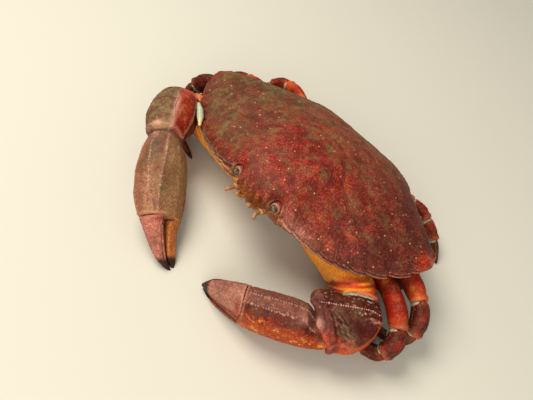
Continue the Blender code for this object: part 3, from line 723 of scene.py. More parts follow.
# %% Shell points
EDGE_THICK, FACE_DEPTH, FACE_SPAN = 2.2, 4.6, 23.0
SEAT_SHARES = (0.45, 0.60, 0.80)
edge_x, edge_y, edge_out, notch_away = COLUMNS.T
edge_size = np.hypot(edge_x, edge_y - HUB_Y)
radial = np.stack((edge_x / edge_size, (edge_y - HUB_Y) / edge_size), -1)
edge_z = np.where(edge_y < 0.0, front_height(edge_x),
                  SIDE_HEIGHT + REAR_DROP * np.minimum(np.maximum(edge_y, 0.0) / REAR_REACH, 1.0))
shares = np.concatenate((np.linspace(0.012, 0.88, 92), np.linspace(0.888, 0.985, 26),
                         (0.990, 0.994, 0.997)))[:, None]
window = np.ones(13) / 13.0
even_x, even_y = (np.convolve(np.tile(v, 3), window, "same")[len(v):2 * len(v)] for v in (edge_x, edge_y))
inside = edge_size * (1.0 - shares)
evened = smooth(3.5, 12.0, inside)
flat_x = mix(edge_x, even_x, evened) * shares
flat_y = (mix(edge_y, even_y, evened) - HUB_Y) * shares + HUB_Y
tooth_share = smooth(5.0, 0.0, inside)
top = np.stack((flat_x + radial[:, 0] * edge_out * tooth_share,
                flat_y + radial[:, 1] * edge_out * tooth_share,
                shell_height(flat_x, flat_y)), -1)
front_side = 1.0 * (edge_y < 0.5)
on_side = front_side * (np.abs(edge_x) > 17.0)
notch_line = bell(notch_away, 0.0, 0.36) * smooth(5.0, 0.8, inside) * on_side
lobe = smooth(0.0, 2.4, notch_away) * smooth(6.0, 1.0, inside) * smooth(0.0, 0.6, inside) * on_side
margin = smooth(2.6, 0.3, inside) * front_side
rear_rim = smooth(1.9, 1.2, inside) * smooth(0.0, 0.4, inside) * (edge_y > 30.0)
rear_ditch = bell(inside, 3.2, 0.9) * (edge_y > 26.0)
print("top of the shell:", top.shape)

# %% Grains and unevenness of the shell
grain = grains(top, 1.45, 11)
coarse = grains(top, 2.6, 31, 0.2, 0.5)
uneven = rough(top, 7.0, 3)
edge_fade = smooth(0.0, 1.5, inside)
top = raised(top, 0.17 * grain + 0.16 * coarse * smooth(0.2, 0.7, uneven + 0.4) + 0.16 * uneven * edge_fade
             - groove_depth(flat_x, flat_y) * edge_fade - 0.42 * notch_line + 0.30 * lobe
             + 0.22 * grain * margin + 0.35 * rear_rim - 0.40 * rear_ditch)
print("grains and grooves raised")

# %% [markdown]
# ### Rim, underside and eye hoods
# The rim curls over the edge, and the underside runs in from it to the seat.  Points that would lie in
# the room of an eye are pushed out of it, which raises a low hood over the eye.

# %% Rim and underside
EYE_PLACE = np.array((12.9, -47.0, SIDE_HEIGHT + EYE_RISE - 0.3))
EYE_RADIUS = 1.9
STALK_SHIFT, STALK_HALVES = np.array((-0.3, 2.6, -0.5)), np.array((2.9, 4.0, 2.6))


def clear_eyes(points, room=0.45):
    for side in (1.0, -1.0):
        flip = np.array((side, 1.0, 1.0))
        for middle, halves in ((EYE_PLACE + STALK_SHIFT, STALK_HALVES + room),
                               (EYE_PLACE, np.full(3, EYE_RADIUS + room))):
            away = (points - middle * flip) / halves
            size = np.linalg.norm(away, axis=-1, keepdims=True)
            pushed = middle * flip + away / np.maximum(size, 1e-6) * halves
            points = np.where(size < 1.0, pushed, points)
    return points


rim_depth = EDGE_THICK + np.where(edge_y > 0.0, 0.0, FACE_DEPTH * np.exp(-(edge_x / FACE_SPAN) ** 6))
tooth_x = edge_x + radial[:, 0] * edge_out
tooth_y = edge_y + radial[:, 1] * edge_out
RIM_ROWS, RIM_RISE, UNDER_ROWS = 12, 0.35, 21
rim = []
for share in np.linspace(0.0, 1.0, RIM_ROWS):
    swell = 0.35 * math.sin(math.pi * share) - 0.25 * smooth(0.7, 1.0, share)
    rim.append(np.stack((tooth_x + radial[:, 0] * swell, tooth_y + radial[:, 1] * swell,
                         edge_z + RIM_RISE - (rim_depth + RIM_RISE) * share), -1))
under = []
for step in np.linspace(0.0, 1.0, UNDER_ROWS + 1)[1:]:
    fall = float(read(((0.0, 0.0), (0.18, 0.10), (0.55, 0.45), (1.0, 1.0)), step)[0])
    across, ahead, behind = (mix(0.985, seat_share, step) for seat_share in SEAT_SHARES)
    along = np.where(edge_y < HUB_Y, ahead, behind)
    soft = smooth(0.0, 0.25, step)
    x = mix(tooth_x * 0.985, edge_x * across, soft)
    y = mix((tooth_y - HUB_Y) * 0.985, (edge_y - HUB_Y) * along, soft) + HUB_Y
    under.append(np.stack((x, y, mix(edge_z - rim_depth - 0.3, SEAT_HEIGHT, fall)), -1))
rim, under = np.array(rim), np.array(under)
rim = raised(rim, 0.14 * grains(rim, 1.1, 17))
under = raised(under, 0.10 * rough(under, 2.5, 5))
whole = clear_eyes(np.concatenate((top, rim, under), 0))
print("shell rows:", len(whole))

# %% [markdown]
# ### The shell's colours
# Brick red runs to crimson in the middle.  The crab's right third and the rear edge wear an olive
# brown film, broken up into patches and streaks.  The far left and right are darker; on the far left this
# is partly the shell's own maroon and partly painted shade of the side turned away from the light.
# Orange-red blotches and greyish spots lie between.  The notch lines are tan, a pale pink line runs
# along the rim, and the strip under the front is orange with brown stripes.

# %% Tints of the shell
BLOTCHES = ((30.4, -35.6, 3.4, 2.4), (43.2, -27.8, 3.0, 2.2), (40.1, -37.2, 3.4, 1.8), (12.0, -24.0, 5.0, 3.2),
            (4.0, -14.0, 4.0, 4.0), (22.0, -24.0, 4.5, 2.6), (38.0, -14.0, 4.5, 3.0))
GREY_SPOTS = ((3.5, -44.5, 2.6), (-4.0, -30.0, 4.0), (-13.0, -24.0, 4.5), (6.0, -33.0, 3.0),
              (14.0, -13.0, 3.0), (-20.0, -30.0, 4.0))
rows = len(top)
row_number = np.arange(len(whole))[:, None]
place_x, place_y = whole[..., 0], whole[..., 1]
wave = rough(whole, 16.0, 41)
tint = painted(
    plain("brick", whole),
    ("crimson", bell(np.hypot(place_x / 38.0, (place_y + 8.0) / 26.0), 0.0, 1.0)),
    # painted shade: the crab's far left is painted darker, partly its own maroon and partly the shade of the
    # side turned away from the light
    ("maroon", 0.75 * smooth(18.0, 62.0, place_x + 9.0 * wave)),
    ("maroon", 0.35 * smooth(0.3, 1.2, np.abs(wave))),
    ("maroon", 0.55 * smooth(5.0, 50.0, -place_x + 6.0 * wave)),
    ("blood red", 0.55 * smooth(0.25, 0.9, rough(whole, 4.5, 43)) * smooth(60.0, 20.0, np.abs(place_x - 8.0))))
broken = smooth(-0.3, 0.5, rough(whole, 2.6, 51))
for x, y, wide, long in BLOTCHES:
    spot = bell(np.hypot((place_x - x) / wide, (place_y - y) / long), 0.0, 1.0)
    tint = painted(tint, ("orange blotch", 0.75 * spot * broken))
broken = smooth(-0.5, 0.5, rough(whole, 2.2, 53))
for x, y, wide in GREY_SPOTS:
    spot = bell(np.hypot(place_x - x, place_y - y), 0.0, wide)
    tint = painted(tint, ("grey spot", 0.5 * spot * broken))
rim_dark = smooth(rows - 5.0, rows - 1.0, row_number) * smooth(rows + 9.0, rows + 7.0, row_number)
below = smooth(rows + 9.0, rows + 15.0, row_number) * np.ones(len(edge_x))
above = 1.0 - below
on_face = smooth(rows + 2.0, rows + 6.0, row_number) * (np.exp(-(edge_x / 30.0) ** 6) * (edge_y < 0.0))
tooth_glow = smooth(66.0, 73.0, np.abs(place_x)) * smooth(8.0, 1.0, np.abs(place_y + 6.0))
tint = painted(tint, ("rim red", 0.8 * rim_dark * front_side), ("face orange", on_face), ("below", below),
               ("side tooth", 0.8 * tooth_glow))
tooth_red = smooth(5.5, 1.5, inside) * front_side * smooth(15.0, 30.0, -edge_x)
tint[:rows] = painted(tint[:rows], ("front tooth", 0.6 * tooth_red))
past_front = place_y + front_line(place_x)
between_eyes = smooth(15.5, 11.0, np.abs(place_x)) * smooth(1.2, 0.0, past_front) * above
band = smooth(3.2, 1.0, np.abs(past_front)) * bell(place_x, 27.0, 10.0) * above
stripes = smooth(0.1, 0.7, np.sin(2.2 * row_number + 0.35 * place_x + 1.5 * rough(whole, 2.0, 47)))
tint = painted(tint, ("between eyes", 0.65 * between_eyes), ("rosy band", 0.80 * band),
               ("face stripe", 0.65 * stripes * on_face * above))
print("shell tints done")

# %% Olive film of the shell
film = 1.0 * smooth(2.0, 46.0, -place_x + 10.0 * wave) + 0.60 * smooth(14.0, 38.0, place_y + 5.0 * wave)
patches = smooth(0.05, 0.75, rough(whole, 5.5, 45))
film = film * (0.50 + 0.50 * patches) + 0.50 * patches * smooth(-10.0, 30.0, 34.0 - np.abs(place_x - 2.0))
film = film + 0.30 * smooth(-0.1, 0.9, rough(whole, 2.4, 46) + 0.4 * wave)
film = film + 0.26 * bell(np.hypot((place_x + 6.0) / 26.0, (place_y - 8.0) / 13.0), 0.0, 1.0)
streaks = noise(np.stack((place_x / 2.4, place_y / 8.0, place_x * 0.0), -1), 1.0, 48)
streaks = 0.45 + 0.75 * smooth(-0.35, 0.35, streaks + 0.5 * rough(whole, 2.0, 49))
film = film * mix(1.0, streaks, smooth(0.0, 25.0, -place_x))
film[:rows] *= mix(1.0, 0.25 + 0.75 * smooth(1.0, 8.0, inside), front_side)
film = np.clip(film + 0.12 * groove_depth(place_x, place_y), 0.0, 0.92) * above * (1.0 - on_face)
film = film * (1.0 - band) * (1.0 - between_eyes)
print("film on the shell:", round(float(film.mean()), 2))

# %% Pale lines of the shell
pale = np.zeros(whole.shape[:2])
front_edge = front_side * (0.50 + 0.5 * bell(np.abs(edge_x), 28.0, 11.0)) * smooth(14.0, 18.0, np.abs(edge_x))
corner = (edge_y >= 0.5) * smooth(36.0, 12.0, edge_y) * smooth(40.0, 50.0, np.abs(edge_x))
pale[:rows] = (0.35 + 0.25 * (edge_x < 0.0)) * notch_line + 0.12 * smooth(1.0, 0.2, inside) * front_edge
pale[:rows] += 0.20 * smooth(0.70, 0.95, grain) * smooth(0.0, 0.9, rough(top, 11.0, 61) + 0.35)
rim_row = np.arange(RIM_ROWS)
pale[rows:rows + RIM_ROWS] = 0.95 * bell(rim_row, 5.0, 1.6)[:, None] * front_edge
pale[rows:rows + RIM_ROWS] += 0.85 * bell(rim_row, 1.0, 1.6)[:, None] * corner
to_eye = np.linalg.norm(np.stack((np.abs(place_x), place_y, whole[..., 2]), -1) - EYE_PLACE, axis=-1)
pale = np.maximum(pale, 0.50 * bell(to_eye, EYE_RADIUS + 1.3, 0.7) * above)
print("pale lines done")

# %% Shell mesh
hub = (0.0, HUB_Y, float(shell_height(np.array(0.0), np.array(HUB_Y))))
seat = (0.0, HUB_Y, SEAT_HEIGHT)
points = np.concatenate((whole.reshape(-1, 3), (hub, seat)))
faces = grid_faces(*whole.shape[:2]).tolist() + fans(*whole.shape[:2], len(points) - 2)
tint = np.concatenate((tint.reshape(-1, 3), (TONES["crimson"], TONES["below"])))
film, pale = (np.concatenate((values.ravel(), (0.0, 0.0))) for values in (film, pale))
make_piece("back_shell", points, faces, tint, SHELL, "shell", ("carapace",), film, pale)
print("back shell faces:", len(faces))

# %% [markdown]
# ## Limbs
# Every length of a limb follows a smooth curve between two joints.  Its section is a rounded box whose
# sizes come from a table.  At the inner side of each bend the plate is cut back, and the soft joint skin
# shows, as on the real crab.  A length's shape is its two joints, the upward directions at its ends, its
# table and how far its middle swells out.

# %% Limb curves and sections
SIDES = (("left", 1.0), ("right", -1.0))
UP, NO_BULGE = np.array((0.0, 0.0, 1.0)), (0, 0, 0)


def curve(ends, s):
    (p, p_along), (q, q_along) = ends
    s = np.asarray(s, float)[..., None]
    size = np.linalg.norm(q - p)
    a, b = p_along * size, q_along * size
    point = (p * (2 * s ** 3 - 3 * s ** 2 + 1) + a * (s ** 3 - 2 * s ** 2 + s)
             + q * (3 * s ** 2 - 2 * s ** 3) + b * (s ** 3 - s ** 2))
    along = (p * (6 * s ** 2 - 6 * s) + a * (3 * s ** 2 - 4 * s + 1)
             + q * (6 * s - 6 * s ** 2) + b * (3 * s ** 2 - 2 * s))
    return point, unit(along)


def joints_of(places, start):
    """Each joint's point, the limb's direction through it, and the inside of its bend."""
    points = [np.array(place, float) for place in places]
    ways = [unit(b - a) for a, b in zip(points, points[1:])]
    bends = [(point, unit(0.5 * (a + b)), unit(b - a)) for point, a, b in zip(points[1:], ways, ways[1:])]
    return [(points[0], unit(start), None), *bends, (points[-1], ways[-1], None)]


def frame_at(along, dorsal):
    high = unit(dorsal - along * (dorsal * along).sum(-1, keepdims=True))
    return high, np.cross(along, high)


def angles(columns, offset=0.5):
    return 2.0 * np.pi * (np.arange(columns) + offset) / columns


def squarish(turn, power):
    """Cosine and sine of an angle, bent so that a round section becomes a rounded box."""
    c, d = np.cos(turn), np.sin(turn)
    return np.sign(c) * np.abs(c) ** (2.0 / power), np.sign(d) * np.abs(d) ** (2.0 / power)


def length_of(shape):
    return np.linalg.norm(shape[1][0] - shape[0][0])


def section(shape, s, turn):
    """Middle of a length at s, and the two parts of the way out from it at each angle."""
    start, end, dorsals, stations, bulge = shape
    point, along = curve((start[:2], end[:2]), s)
    point = point + np.array(bulge) * (np.sin(np.pi * s) ** 2)[..., None]
    high, side = frame_at(along, mix(dorsals[0], dorsals[1], s[..., None]))
    up, down, thick, power = np.moveaxis(read(stations, s), -1, 0)
    c, d = squarish(turn, power)
    return point, high * (c * np.where(c > 0, up, down))[..., None], side * (d * thick)[..., None]


def limb_grid(shape, columns, step, cut_back, gap=(0.15, 0.15), overhang=0.0):
    """Points of one length, with how far along and how far round each one is."""
    start, end, dorsals = shape[:3]
    length = length_of(shape)
    turn = angles(columns)
    s = np.repeat(np.linspace(0.0, 1.0, max(int(length / step), 10))[:, None], columns, 1)
    low, high_end = np.full(columns, gap[0]), np.full(columns, gap[1])
    for joint, back, edge in ((start, cut_back[0], low), (end, cut_back[1], high_end)):
        if joint[2] is not None and back:
            high, side = frame_at(joint[1], dorsals[0])
            angle = math.atan2(float(joint[2] @ side), float(joint[2] @ high))
            edge += back * np.maximum(0.0, np.cos(turn - angle)) ** 1.5
            if edge is high_end:
                edge -= overhang * np.maximum(0.0, -np.cos(turn - angle)) ** 1.5
    s = low / length + s * (1.0 - (low + high_end) / length)
    point, upward, across = section(shape, s, turn)
    return point + upward + across, s, np.broadcast_to(turn, s.shape)


print("limb tools ready")

# %% Balls and tubes
def ball_grid(middle, halves, rows=36, columns=48):
    lift, turn = np.meshgrid(np.linspace(0.02, math.pi - 0.02, rows), angles(columns, 0.0), indexing="ij")
    shape = np.stack((np.sin(lift) * np.cos(turn), np.sin(lift) * np.sin(turn), np.cos(lift)), -1)
    return np.asarray(middle, float) + shape * np.asarray(halves, float), shape


def stops_of(places):
    """How far along a path each of its places is, from 0 to 1."""
    stops = np.concatenate(([0.0], np.cumsum(np.linalg.norm(np.diff(places, axis=0), axis=1))))
    return stops / stops[-1]


def path_grid(places, sizes, dorsal, power, rows, columns):
    """A tube through places; sizes are half height and half width at each."""
    places = np.asarray(places, float)
    s, stops = np.linspace(0.0, 1.0, rows), stops_of(places)
    middle = read([(t, *p) for t, p in zip(stops, places)], s)
    size = read([(t, *p) for t, p in zip(stops, sizes)], s)
    along = unit(np.gradient(middle, axis=0))
    high, across = frame_at(along, np.broadcast_to(np.asarray(dorsal, float), along.shape))
    turn = angles(columns)
    u, v = (part[None, :] * size[:, k:k + 1] for k, part in enumerate(squarish(turn, power)))
    grid = middle[:, None] + high[:, None] * u[..., None] + across[:, None] * v[..., None]
    return grid, np.repeat(s[:, None], columns, 1), np.broadcast_to(turn, (rows, columns))


def resampled(places, count):
    """Evenly numbered points on a smooth curve through places."""
    return read([(k, *place) for k, place in enumerate(places)], np.linspace(0, len(places) - 1, count))


print("ball and tube tools ready")

# %% [markdown]
# ### Walking legs
# Four lengths a leg: the long flat merus, the short carpus, the propodus and the sharp dactyl.  Low
# crests run along their upper and lower edges, and two furrows along each face of the lengths past the
# merus.  The far end of every length but the last flares into a collar.

# %% Leg places and sizes
LEG_HIGH, LEG_THICK, LEG_SQUARENESS, LEG_UP = 6.4, 4.3, 2.3, np.array((0.0, -0.35, 1.0))
# The joints of each leg from root to tip, front leg first, then each leg's size and first direction
LEGS = {
    "left": (((22, -8, 10), (85, -30, 16.5), (86.5, -39, 9.5), (78, -41, 4.4), (58, -36, 0.3)),
             ((22, 3, 10), (82, -12, 19), (89, -21, 10.5), (83, -27, 4.6), (64, -24, 0.3)),
             ((22, 14, 10), (62, 9, 16), (68, 2, 9.5), (65, -6, 4.6), (50, -15, 0.3)),
             ((16, 23, 10), (41, 37, 15), (52, 38, 12), (62, 36, 7), (71, 31, 0.3))),
    "right": (((22, -8, 10), (73, -9, 15), (80, -18, 9), (74, -29, 4.6), (55, -34, 0.3)),
              ((22, 3, 10), (80, 1, 19), (90, -5, 12), (88, -12, 5.4), (73, -9, 0.3)),
              ((22, 14, 10), (73, 18, 20), (82, 13, 14), (84, 5, 7.5), (77, -7, 0.3)),
              ((16, 23, 10), (58, 38, 19), (67, 35, 13.5), (71, 28, 7.5), (71, 15, 0.3))),
}
LEG_SCALES = (1.0, 1.0, 0.95, 0.86)
LEG_STARTS = ((1.0, 0.05, 0.06), (1.0, 0.08, 0.08), (1.0, 0.2, 0.06), (0.9, 0.5, 0.05))
# Rows of share along the length, and the section's reach upward, downward and sideways
LEG_PARTS = {
    "merus": ((0.0, 0.62, 0.66, 0.80), (0.2, 0.72, 0.76, 0.86), (0.6, 0.98, 1.0, 1.0),
              (0.88, 1.0, 1.02, 1.06), (1.0, 0.80, 0.84, 0.94)),
    "carpus": ((0.0, 0.70, 0.70, 0.80), (0.2, 0.88, 0.86, 0.98), (0.5, 0.96, 0.92, 1.04),
               (0.85, 0.92, 0.88, 0.98), (1.0, 0.72, 0.72, 0.84)),
    "propodus": ((0.0, 0.62, 0.62, 0.72), (0.2, 0.76, 0.74, 0.80), (0.45, 0.80, 0.78, 0.82),
                 (0.85, 0.70, 0.66, 0.74), (1.0, 0.56, 0.54, 0.62)),
    "dactyl": ((0.0, 0.44, 0.44, 0.50), (0.15, 0.50, 0.50, 0.56), (0.4, 0.40, 0.40, 0.48),
               (0.7, 0.28, 0.28, 0.36), (0.92, 0.15, 0.15, 0.2), (1.0, 0.05, 0.05, 0.06)),
}
LEG_CUTS = {"merus": (0.0, 2.4), "carpus": (1.6, 1.6), "propodus": (1.6, 1.6), "dactyl": (1.2, 0.0)}


def sized(stations, high, thick, scale, power):
    """A table in millimetres, with the squareness of the section added to each row."""
    return [(share, up * high * scale, down * high * scale, side * thick * scale, power)
            for share, up, down, side in stations]


print("leg lengths:", sum(len(row) * len(LEG_PARTS) for row in LEGS.values()))

# %% Leg pieces
BRISTLE_BEDS = []


def leg_length(side_name, number, part, shape, seed):
    """One length of a leg, which also becomes a bed for bristles."""
    is_tip, rear = part == "dactyl", number >= 3
    grid, s, turn = limb_grid(shape, 44, 0.62, LEG_CUTS[part], (0.15, 0.0 if is_tip else 0.15))
    normals, level, length = grid_normals(grid), np.cos(turn), length_of(shape)
    distance = (1.0 - s) * length
    crest = bell(level, 1.0, 0.10) + 0.7 * bell(level, -1.0, 0.10)
    grain = grains(grid, 1.15, 71 + seed)
    lift = 0.13 * grain + 0.14 * rough(grid, 4.0, seed) + crest * (0.22 + 0.35 * grains(grid, 1.5, 81)) * 0.8
    if part != "merus":
        lift -= 0.45 * (bell(np.abs(np.sin(turn)), 0.80, 0.13) * smooth(0.05, 0.25, s) * smooth(1.0, 0.8, s))
    if is_tip:
        lift *= smooth(1.0, 0.6, s)
    else:
        lift += bell(distance, 1.5, 0.8) * 0.35 - bell(distance, 3.0, 0.9) * 0.25
    grid = grid + normals * lift[..., None]
    grid[..., 2] = np.maximum(grid[..., 2], 0.0)
    blotch = rough(grid, 6.0, 90 + seed)
    if part == "merus":
        tint = painted(plain("scarlet", grid),
                       ("leg dark", 0.55 * smooth(0.1, 1.0, blotch) + 0.25 * smooth(0.5, -0.8, level)),
                       ("joint orange", 0.75 * smooth(7.0, 1.0, distance + 2.0 * blotch)),
                       ("flame", 0.75 * smooth(0.45, 0.85, rough(grid, 3.4, 97))),
                       ("leg dark", 0.38 * (number == 1)))
    elif is_tip:
        tint = painted(plain("leg dark", grid), ("leg tip", smooth(0.2, 0.6, s)),
                       ("claw tip", smooth(0.72, 0.86, s)))
    else:
        ends = 0.55 * smooth(3.0, 0.4, distance) + 0.35 * smooth(2.5, 0.3, s * length)
        tint = painted(plain("leg dark", grid),
                       ("scarlet", (0.6 + 0.3 * rear) * smooth(-0.9 * rear, 0.9, blotch)),
                       ("joint orange", ends))
    tint = painted(tint, ("leg below", 0.45 * smooth(0.2, -0.95, level) * (not is_tip)))
    pale = 0.12 * crest * grain + 0.12 * bell(distance, 0.8, 0.7) * (not is_tip)
    film = 0.30 * smooth(0.0, 1.0, rough(grid, 9.0, 95))
    make_plate(f"leg_{number}_{part}_plate_{side_name}", grid, tint, LEG, "leg_tip" if is_tip else "leg",
               (f"leg_{number}_{part}_{side_name}",), film, pale, 3, 0.25 if is_tip else 0.5)
    BRISTLE_BEDS.append((grid, normals, turn, part))


LEG_SHAPES = {}
for side_name, side in SIDES:
    for number, places in enumerate(LEGS[side_name], 1):
        scale = LEG_SCALES[number - 1]
        joints = joints_of([(side * x, y, z) for x, y, z in places],
                           np.array(LEG_STARTS[number - 1]) * (side, 1.0, 1.0))
        LEG_SHAPES[side_name, number] = shapes = [
            (*joints[k:k + 2], (LEG_UP, LEG_UP), sized(table, LEG_HIGH, LEG_THICK, scale, LEG_SQUARENESS),
             NO_BULGE)
            for k, table in enumerate(LEG_PARTS.values())]
        for k, (part, shape) in enumerate(zip(LEG_PARTS, shapes)):
            leg_length(side_name, number, part, shape, number + 10 * k)
print("leg plates:", len(PIECES) - 1)

# %% [markdown]
# ## Arms
# An arm has a merus, a short carpus and a hand.  The carpus carries a blunt spine at its inner corner.
# Several closed meshes are melted into one by a voxel remesh, which leaves an even skin of small squares
# that can carry grains everywhere.

# %% Arm places and sizes
ARM_HIGH, HAND_LENGTH, SPINE_ROOT, PALM_HIGH, PALM_THICK = 9.6, 60.0, 6.6, 12.2, 8.3
# aim is where the palm points, palm_up the way its top looks, sweep and fall how far the finger tips
# turn in and down, spine its root and tip, bulge the wrist length's swelling, shoulder the rise of the
# palm's top next to the wrist, and slender the narrowing of the fingers
ARMS = {
    "left": dict(hip=(20, -22, 12), elbow=(65, -35, 16), wrist=(66, -57, 16.5), aim=(16, -88, 12),
                 palm_up=(0.06, -0.1, 1.0), scale=1.0, sweep=9.0, fall=6.0,
                 spine=((60, -46, 18.5), (49, -52, 20.5)), bulge=(1.4, 1.0, 0.6), shoulder=-0.22, slender=0.0),
    "right": dict(hip=(-20, -22, 12), elbow=(-70, -26, 20), wrist=(-55, -55, 28), aim=(-30, -75, 15),
                  palm_up=(-0.29, -0.75, 0.6), scale=1.08, sweep=1.0, fall=2.4,
                  spine=((-62, -44, 28), (-53, -42, 27)), bulge=(0.0, 2.0, 1.6), shoulder=0.36, slender=0.30),
}
ARM_START, ARM_UP = (0.9, -0.4, 0.05), np.array((0.0, -0.15, 1.0))
ARM_MERUS = ((0.0, 0.56, 0.56, 0.56), (0.35, 0.75, 0.72, 0.77), (0.6, 0.84, 0.80, 0.94),
             (0.8, 0.86, 0.84, 0.98), (1.0, 0.82, 0.80, 0.86))
ARM_CARPUS = ((0.0, 0.74, 0.80, 0.94), (0.3, 0.98, 0.96, 1.12), (0.7, 1.06, 1.0, 1.12),
              (1.0, 0.80, 0.76, 0.80))
SPINE_SIZES = ((0.0, 1.0), (0.5, 0.86), (0.8, 0.6), (0.95, 0.34), (1.0, 0.14))
VOXEL, SOFTENING_ROUNDS = 0.40, 6


def gathered(parts):
    """Several sets of points and faces as one."""
    points, faces, total = [], [], 0
    for some_points, some_faces in parts:
        points.append(some_points)
        faces += [tuple(i + total for i in face) for face in some_faces]
        total += len(some_points)
    return np.concatenate(points), faces


def finished(thing):
    """Points, normals and faces of an object with its modifiers; the object is removed."""
    bpy.context.view_layer.update()
    done = bpy.data.meshes.new_from_object(thing.evaluated_get(bpy.context.evaluated_depsgraph_get()))
    spots, out = (np.empty(len(done.vertices) * 3) for _ in range(2))
    done.vertices.foreach_get("co", spots)
    done.vertex_normals.foreach_get("vector", out)
    faces = [tuple(face.vertices) for face in done.polygons]
    start = thing.data
    bpy.data.objects.remove(thing, do_unlink=True)
    for old in (start, done):
        bpy.data.meshes.remove(old)
    return spots.reshape(-1, 3), out.reshape(-1, 3), faces


def melted(meshes):
    """One even mesh over the outside of several closed ones."""
    mesh = bpy.data.meshes.new("melting")
    points, faces = gathered(meshes)
    mesh.from_pydata(points.tolist(), [], faces)
    turn_outward(mesh)
    thing = shown("melting", mesh)
    remesh = thing.modifiers.new("even skin", "REMESH")
    remesh.mode, remesh.voxel_size = "VOXEL", VOXEL
    soften = thing.modifiers.new("soften", "SMOOTH")
    soften.iterations, soften.factor = SOFTENING_ROUNDS, 0.5
    return finished(thing)


print("arm tools ready")

# %% Upper arm
def arm_merus(side_name, side, shape):
    grid, s, turn = limb_grid(shape, 96, 0.5, (0.0, 4.2))
    level, distance = np.cos(turn), (1.0 - s) * length_of(shape)
    top_edge = bell(level, 1.0, 0.12) * smooth(0.3, 0.9, s)
    grid = raised(grid, 0.10 * grains(grid, 1.2, 101) + 0.16 * rough(grid, 5.0, 7) + 0.5 * top_edge
                  + 0.55 * bell(distance, 1.4, 1.0) - 0.45 * bell(distance, 4.2, 1.3))
    wave = rough(grid, 5.0, 103)
    level_way, steep_way = (unit((0.66 * side, y, z)) for y, z in ((0.72, 0.22), (-0.42, -0.62)))
    stripe = noise(np.stack((grid @ level_way / 8.0, grid @ steep_way / 1.15, turn * 0.0), -1), 1.0, 107)
    around = np.degrees(np.angle(np.exp(1j * side * turn)))
    red = smooth(-0.04, 0.05, s + 0.04 * wave - 0.84 + 0.0028 * np.clip(around, 0.0, 105.0))
    tint = painted(plain("arm orange", grid),
                   ("arm yellow", 0.5 * smooth(0.2, 0.9, side * np.sin(turn) + 0.3 * wave)),
                   ("arm red", 0.9 * red * smooth(-0.75, -0.25, stripe)),
                   ("wine", 0.85 * red * smooth(-0.12, 0.22, stripe + 0.3 * wave)),
                   ("arm red", 0.5 * smooth(0.2, 0.6, stripe) * (level > 0.4) * smooth(0.55, 0.7, s)),
                   ("arm end", 0.7 * bell(distance, 0.9, 1.0)))
    make_plate(f"arm_merus_plate_{side_name}", grid, tint, UPPER_ARM, "arm_base", (f"arm_merus_{side_name}",),
               0.0, 0.35 * bell(distance, 0.4, 0.5), 4, 0.4)


print("upper arm ready")

# %% [markdown]
# ### Wrist lengths
# Two flat faces meet in a granular ridge, and bars fill out the ridge and the left rim.  The joint with
# the palm has a pale knob on each side, and grey creases lie beside it.

# %% Places on the wrist lengths
# A point on each ridge and the directions that its two flat faces look in
FACETS = {
    "left": ((62.8, -46.5, 26.3), ((0.0, 0.20, 0.98), (0.23, -0.38, 0.89))),
    "right": ((-61.0, -44.2, 40.6), ((-0.12, -0.36, 0.92), (0.50, 0.22, 0.84))),
}
# Bars that fill out the ridge and the left rim: paths with their half heights and half widths
BARS = {
    "left": ((((50.6, -52.6, 20.0), (57.0, -50.0, 20.6), (64.5, -45.5, 22.6), (72.0, -38.5, 21.4)),
              ((1.8, 1.8), (2.6, 3.2), (3.5, 3.4), (3.0, 2.6))),
             (((55.4, -51.4, 20.4), (60.4, -54.6, 21.7), (64.2, -57.2, 21.5), (68.4, -59.2, 19.6),
               (72.4, -59.4, 15.6)),
              ((2.4, 2.6), (2.5, 2.6), (2.6, 2.6), (2.4, 2.4), (2.0, 2.0))),
             (((51.2, -53.2, 20.3), (55.4, -54.6, 21.9), (61.2, -58.6, 22.4), (67.6, -61.0, 20.2),
               (71.8, -60.8, 15.6), (71.0, -59.8, 10.5)),
              ((1.6, 1.5), (2.0, 1.9), (2.0, 2.1), (1.9, 1.9), (1.8, 1.8), (1.3, 1.4)))),
    "right": ((((-71.5, -34.0, 33.2), (-66.0, -39.5, 36.2), (-60.0, -44.8, 36.4), (-53.0, -50.0, 32.6)),
               ((2.8, 2.4), (3.4, 3.0), (3.4, 3.0), (2.8, 2.4))),),
}
OVERHANG = {"left": 0.6, "right": 2.6}
# Creased grey patches: a place and its three half sizes
CREASED = {"left": (((66.0, -52.6, 23.4), (3.4, 2.4, 3.0)), ((73.2, -53.8, 21.7), (4.6, 2.6, 3.4))),
           "right": (((-62.0, -38.0, 38.0), (3.0, 3.0, 3.0)),)}
# Knobs of the wrist joint: on the rim of the wrist length and on the palm
KNOBS = {"left": ((61.8, -61.2, 22.6), (56.8, -66.3, 25.2)),
         "right": ((-58.5, -57.0, 35.5), (-54.7, -61.4, 34.0))}
BELOW_KNOB, BELOW_KNOB_HALVES = np.array((68.6, -62.0, 21.0)), (4.4, 3.4, 3.4)


def round_places(points, shape):
    """How far along a length each point is, and at what angle round it."""
    start, end, dorsals = shape[:3]
    steps = np.linspace(0.0, 1.0, 60)
    middles, along = curve((start[:2], end[:2]), steps)
    batch = 4000
    nearest = np.concatenate([((points[k:k + batch, None, :] - middles[None]) ** 2).sum(-1).argmin(1)
                              for k in range(0, len(points), batch)])
    s = steps[nearest]
    high, across = frame_at(along[nearest], mix(dorsals[0], dorsals[1], s[:, None]))
    off = points - middles[nearest]
    return s, np.arctan2((off * across).sum(-1), (off * high).sum(-1))


def flatten(points, place, ways, keep=0.2):
    """Press what stands beyond each flat face back towards it."""
    for way in ways:
        way = unit(way)
        beyond = np.maximum((points - place) @ way, 0.0)
        points = points - ((1.0 - keep) * beyond)[..., None] * way
    return points


def near(points, place, halves):
    """1 at a place, falling softly to 0 over its half sizes."""
    return bell(np.linalg.norm((points - place) / halves, axis=-1), 0.0, 1.0)


print("wrist places ready")

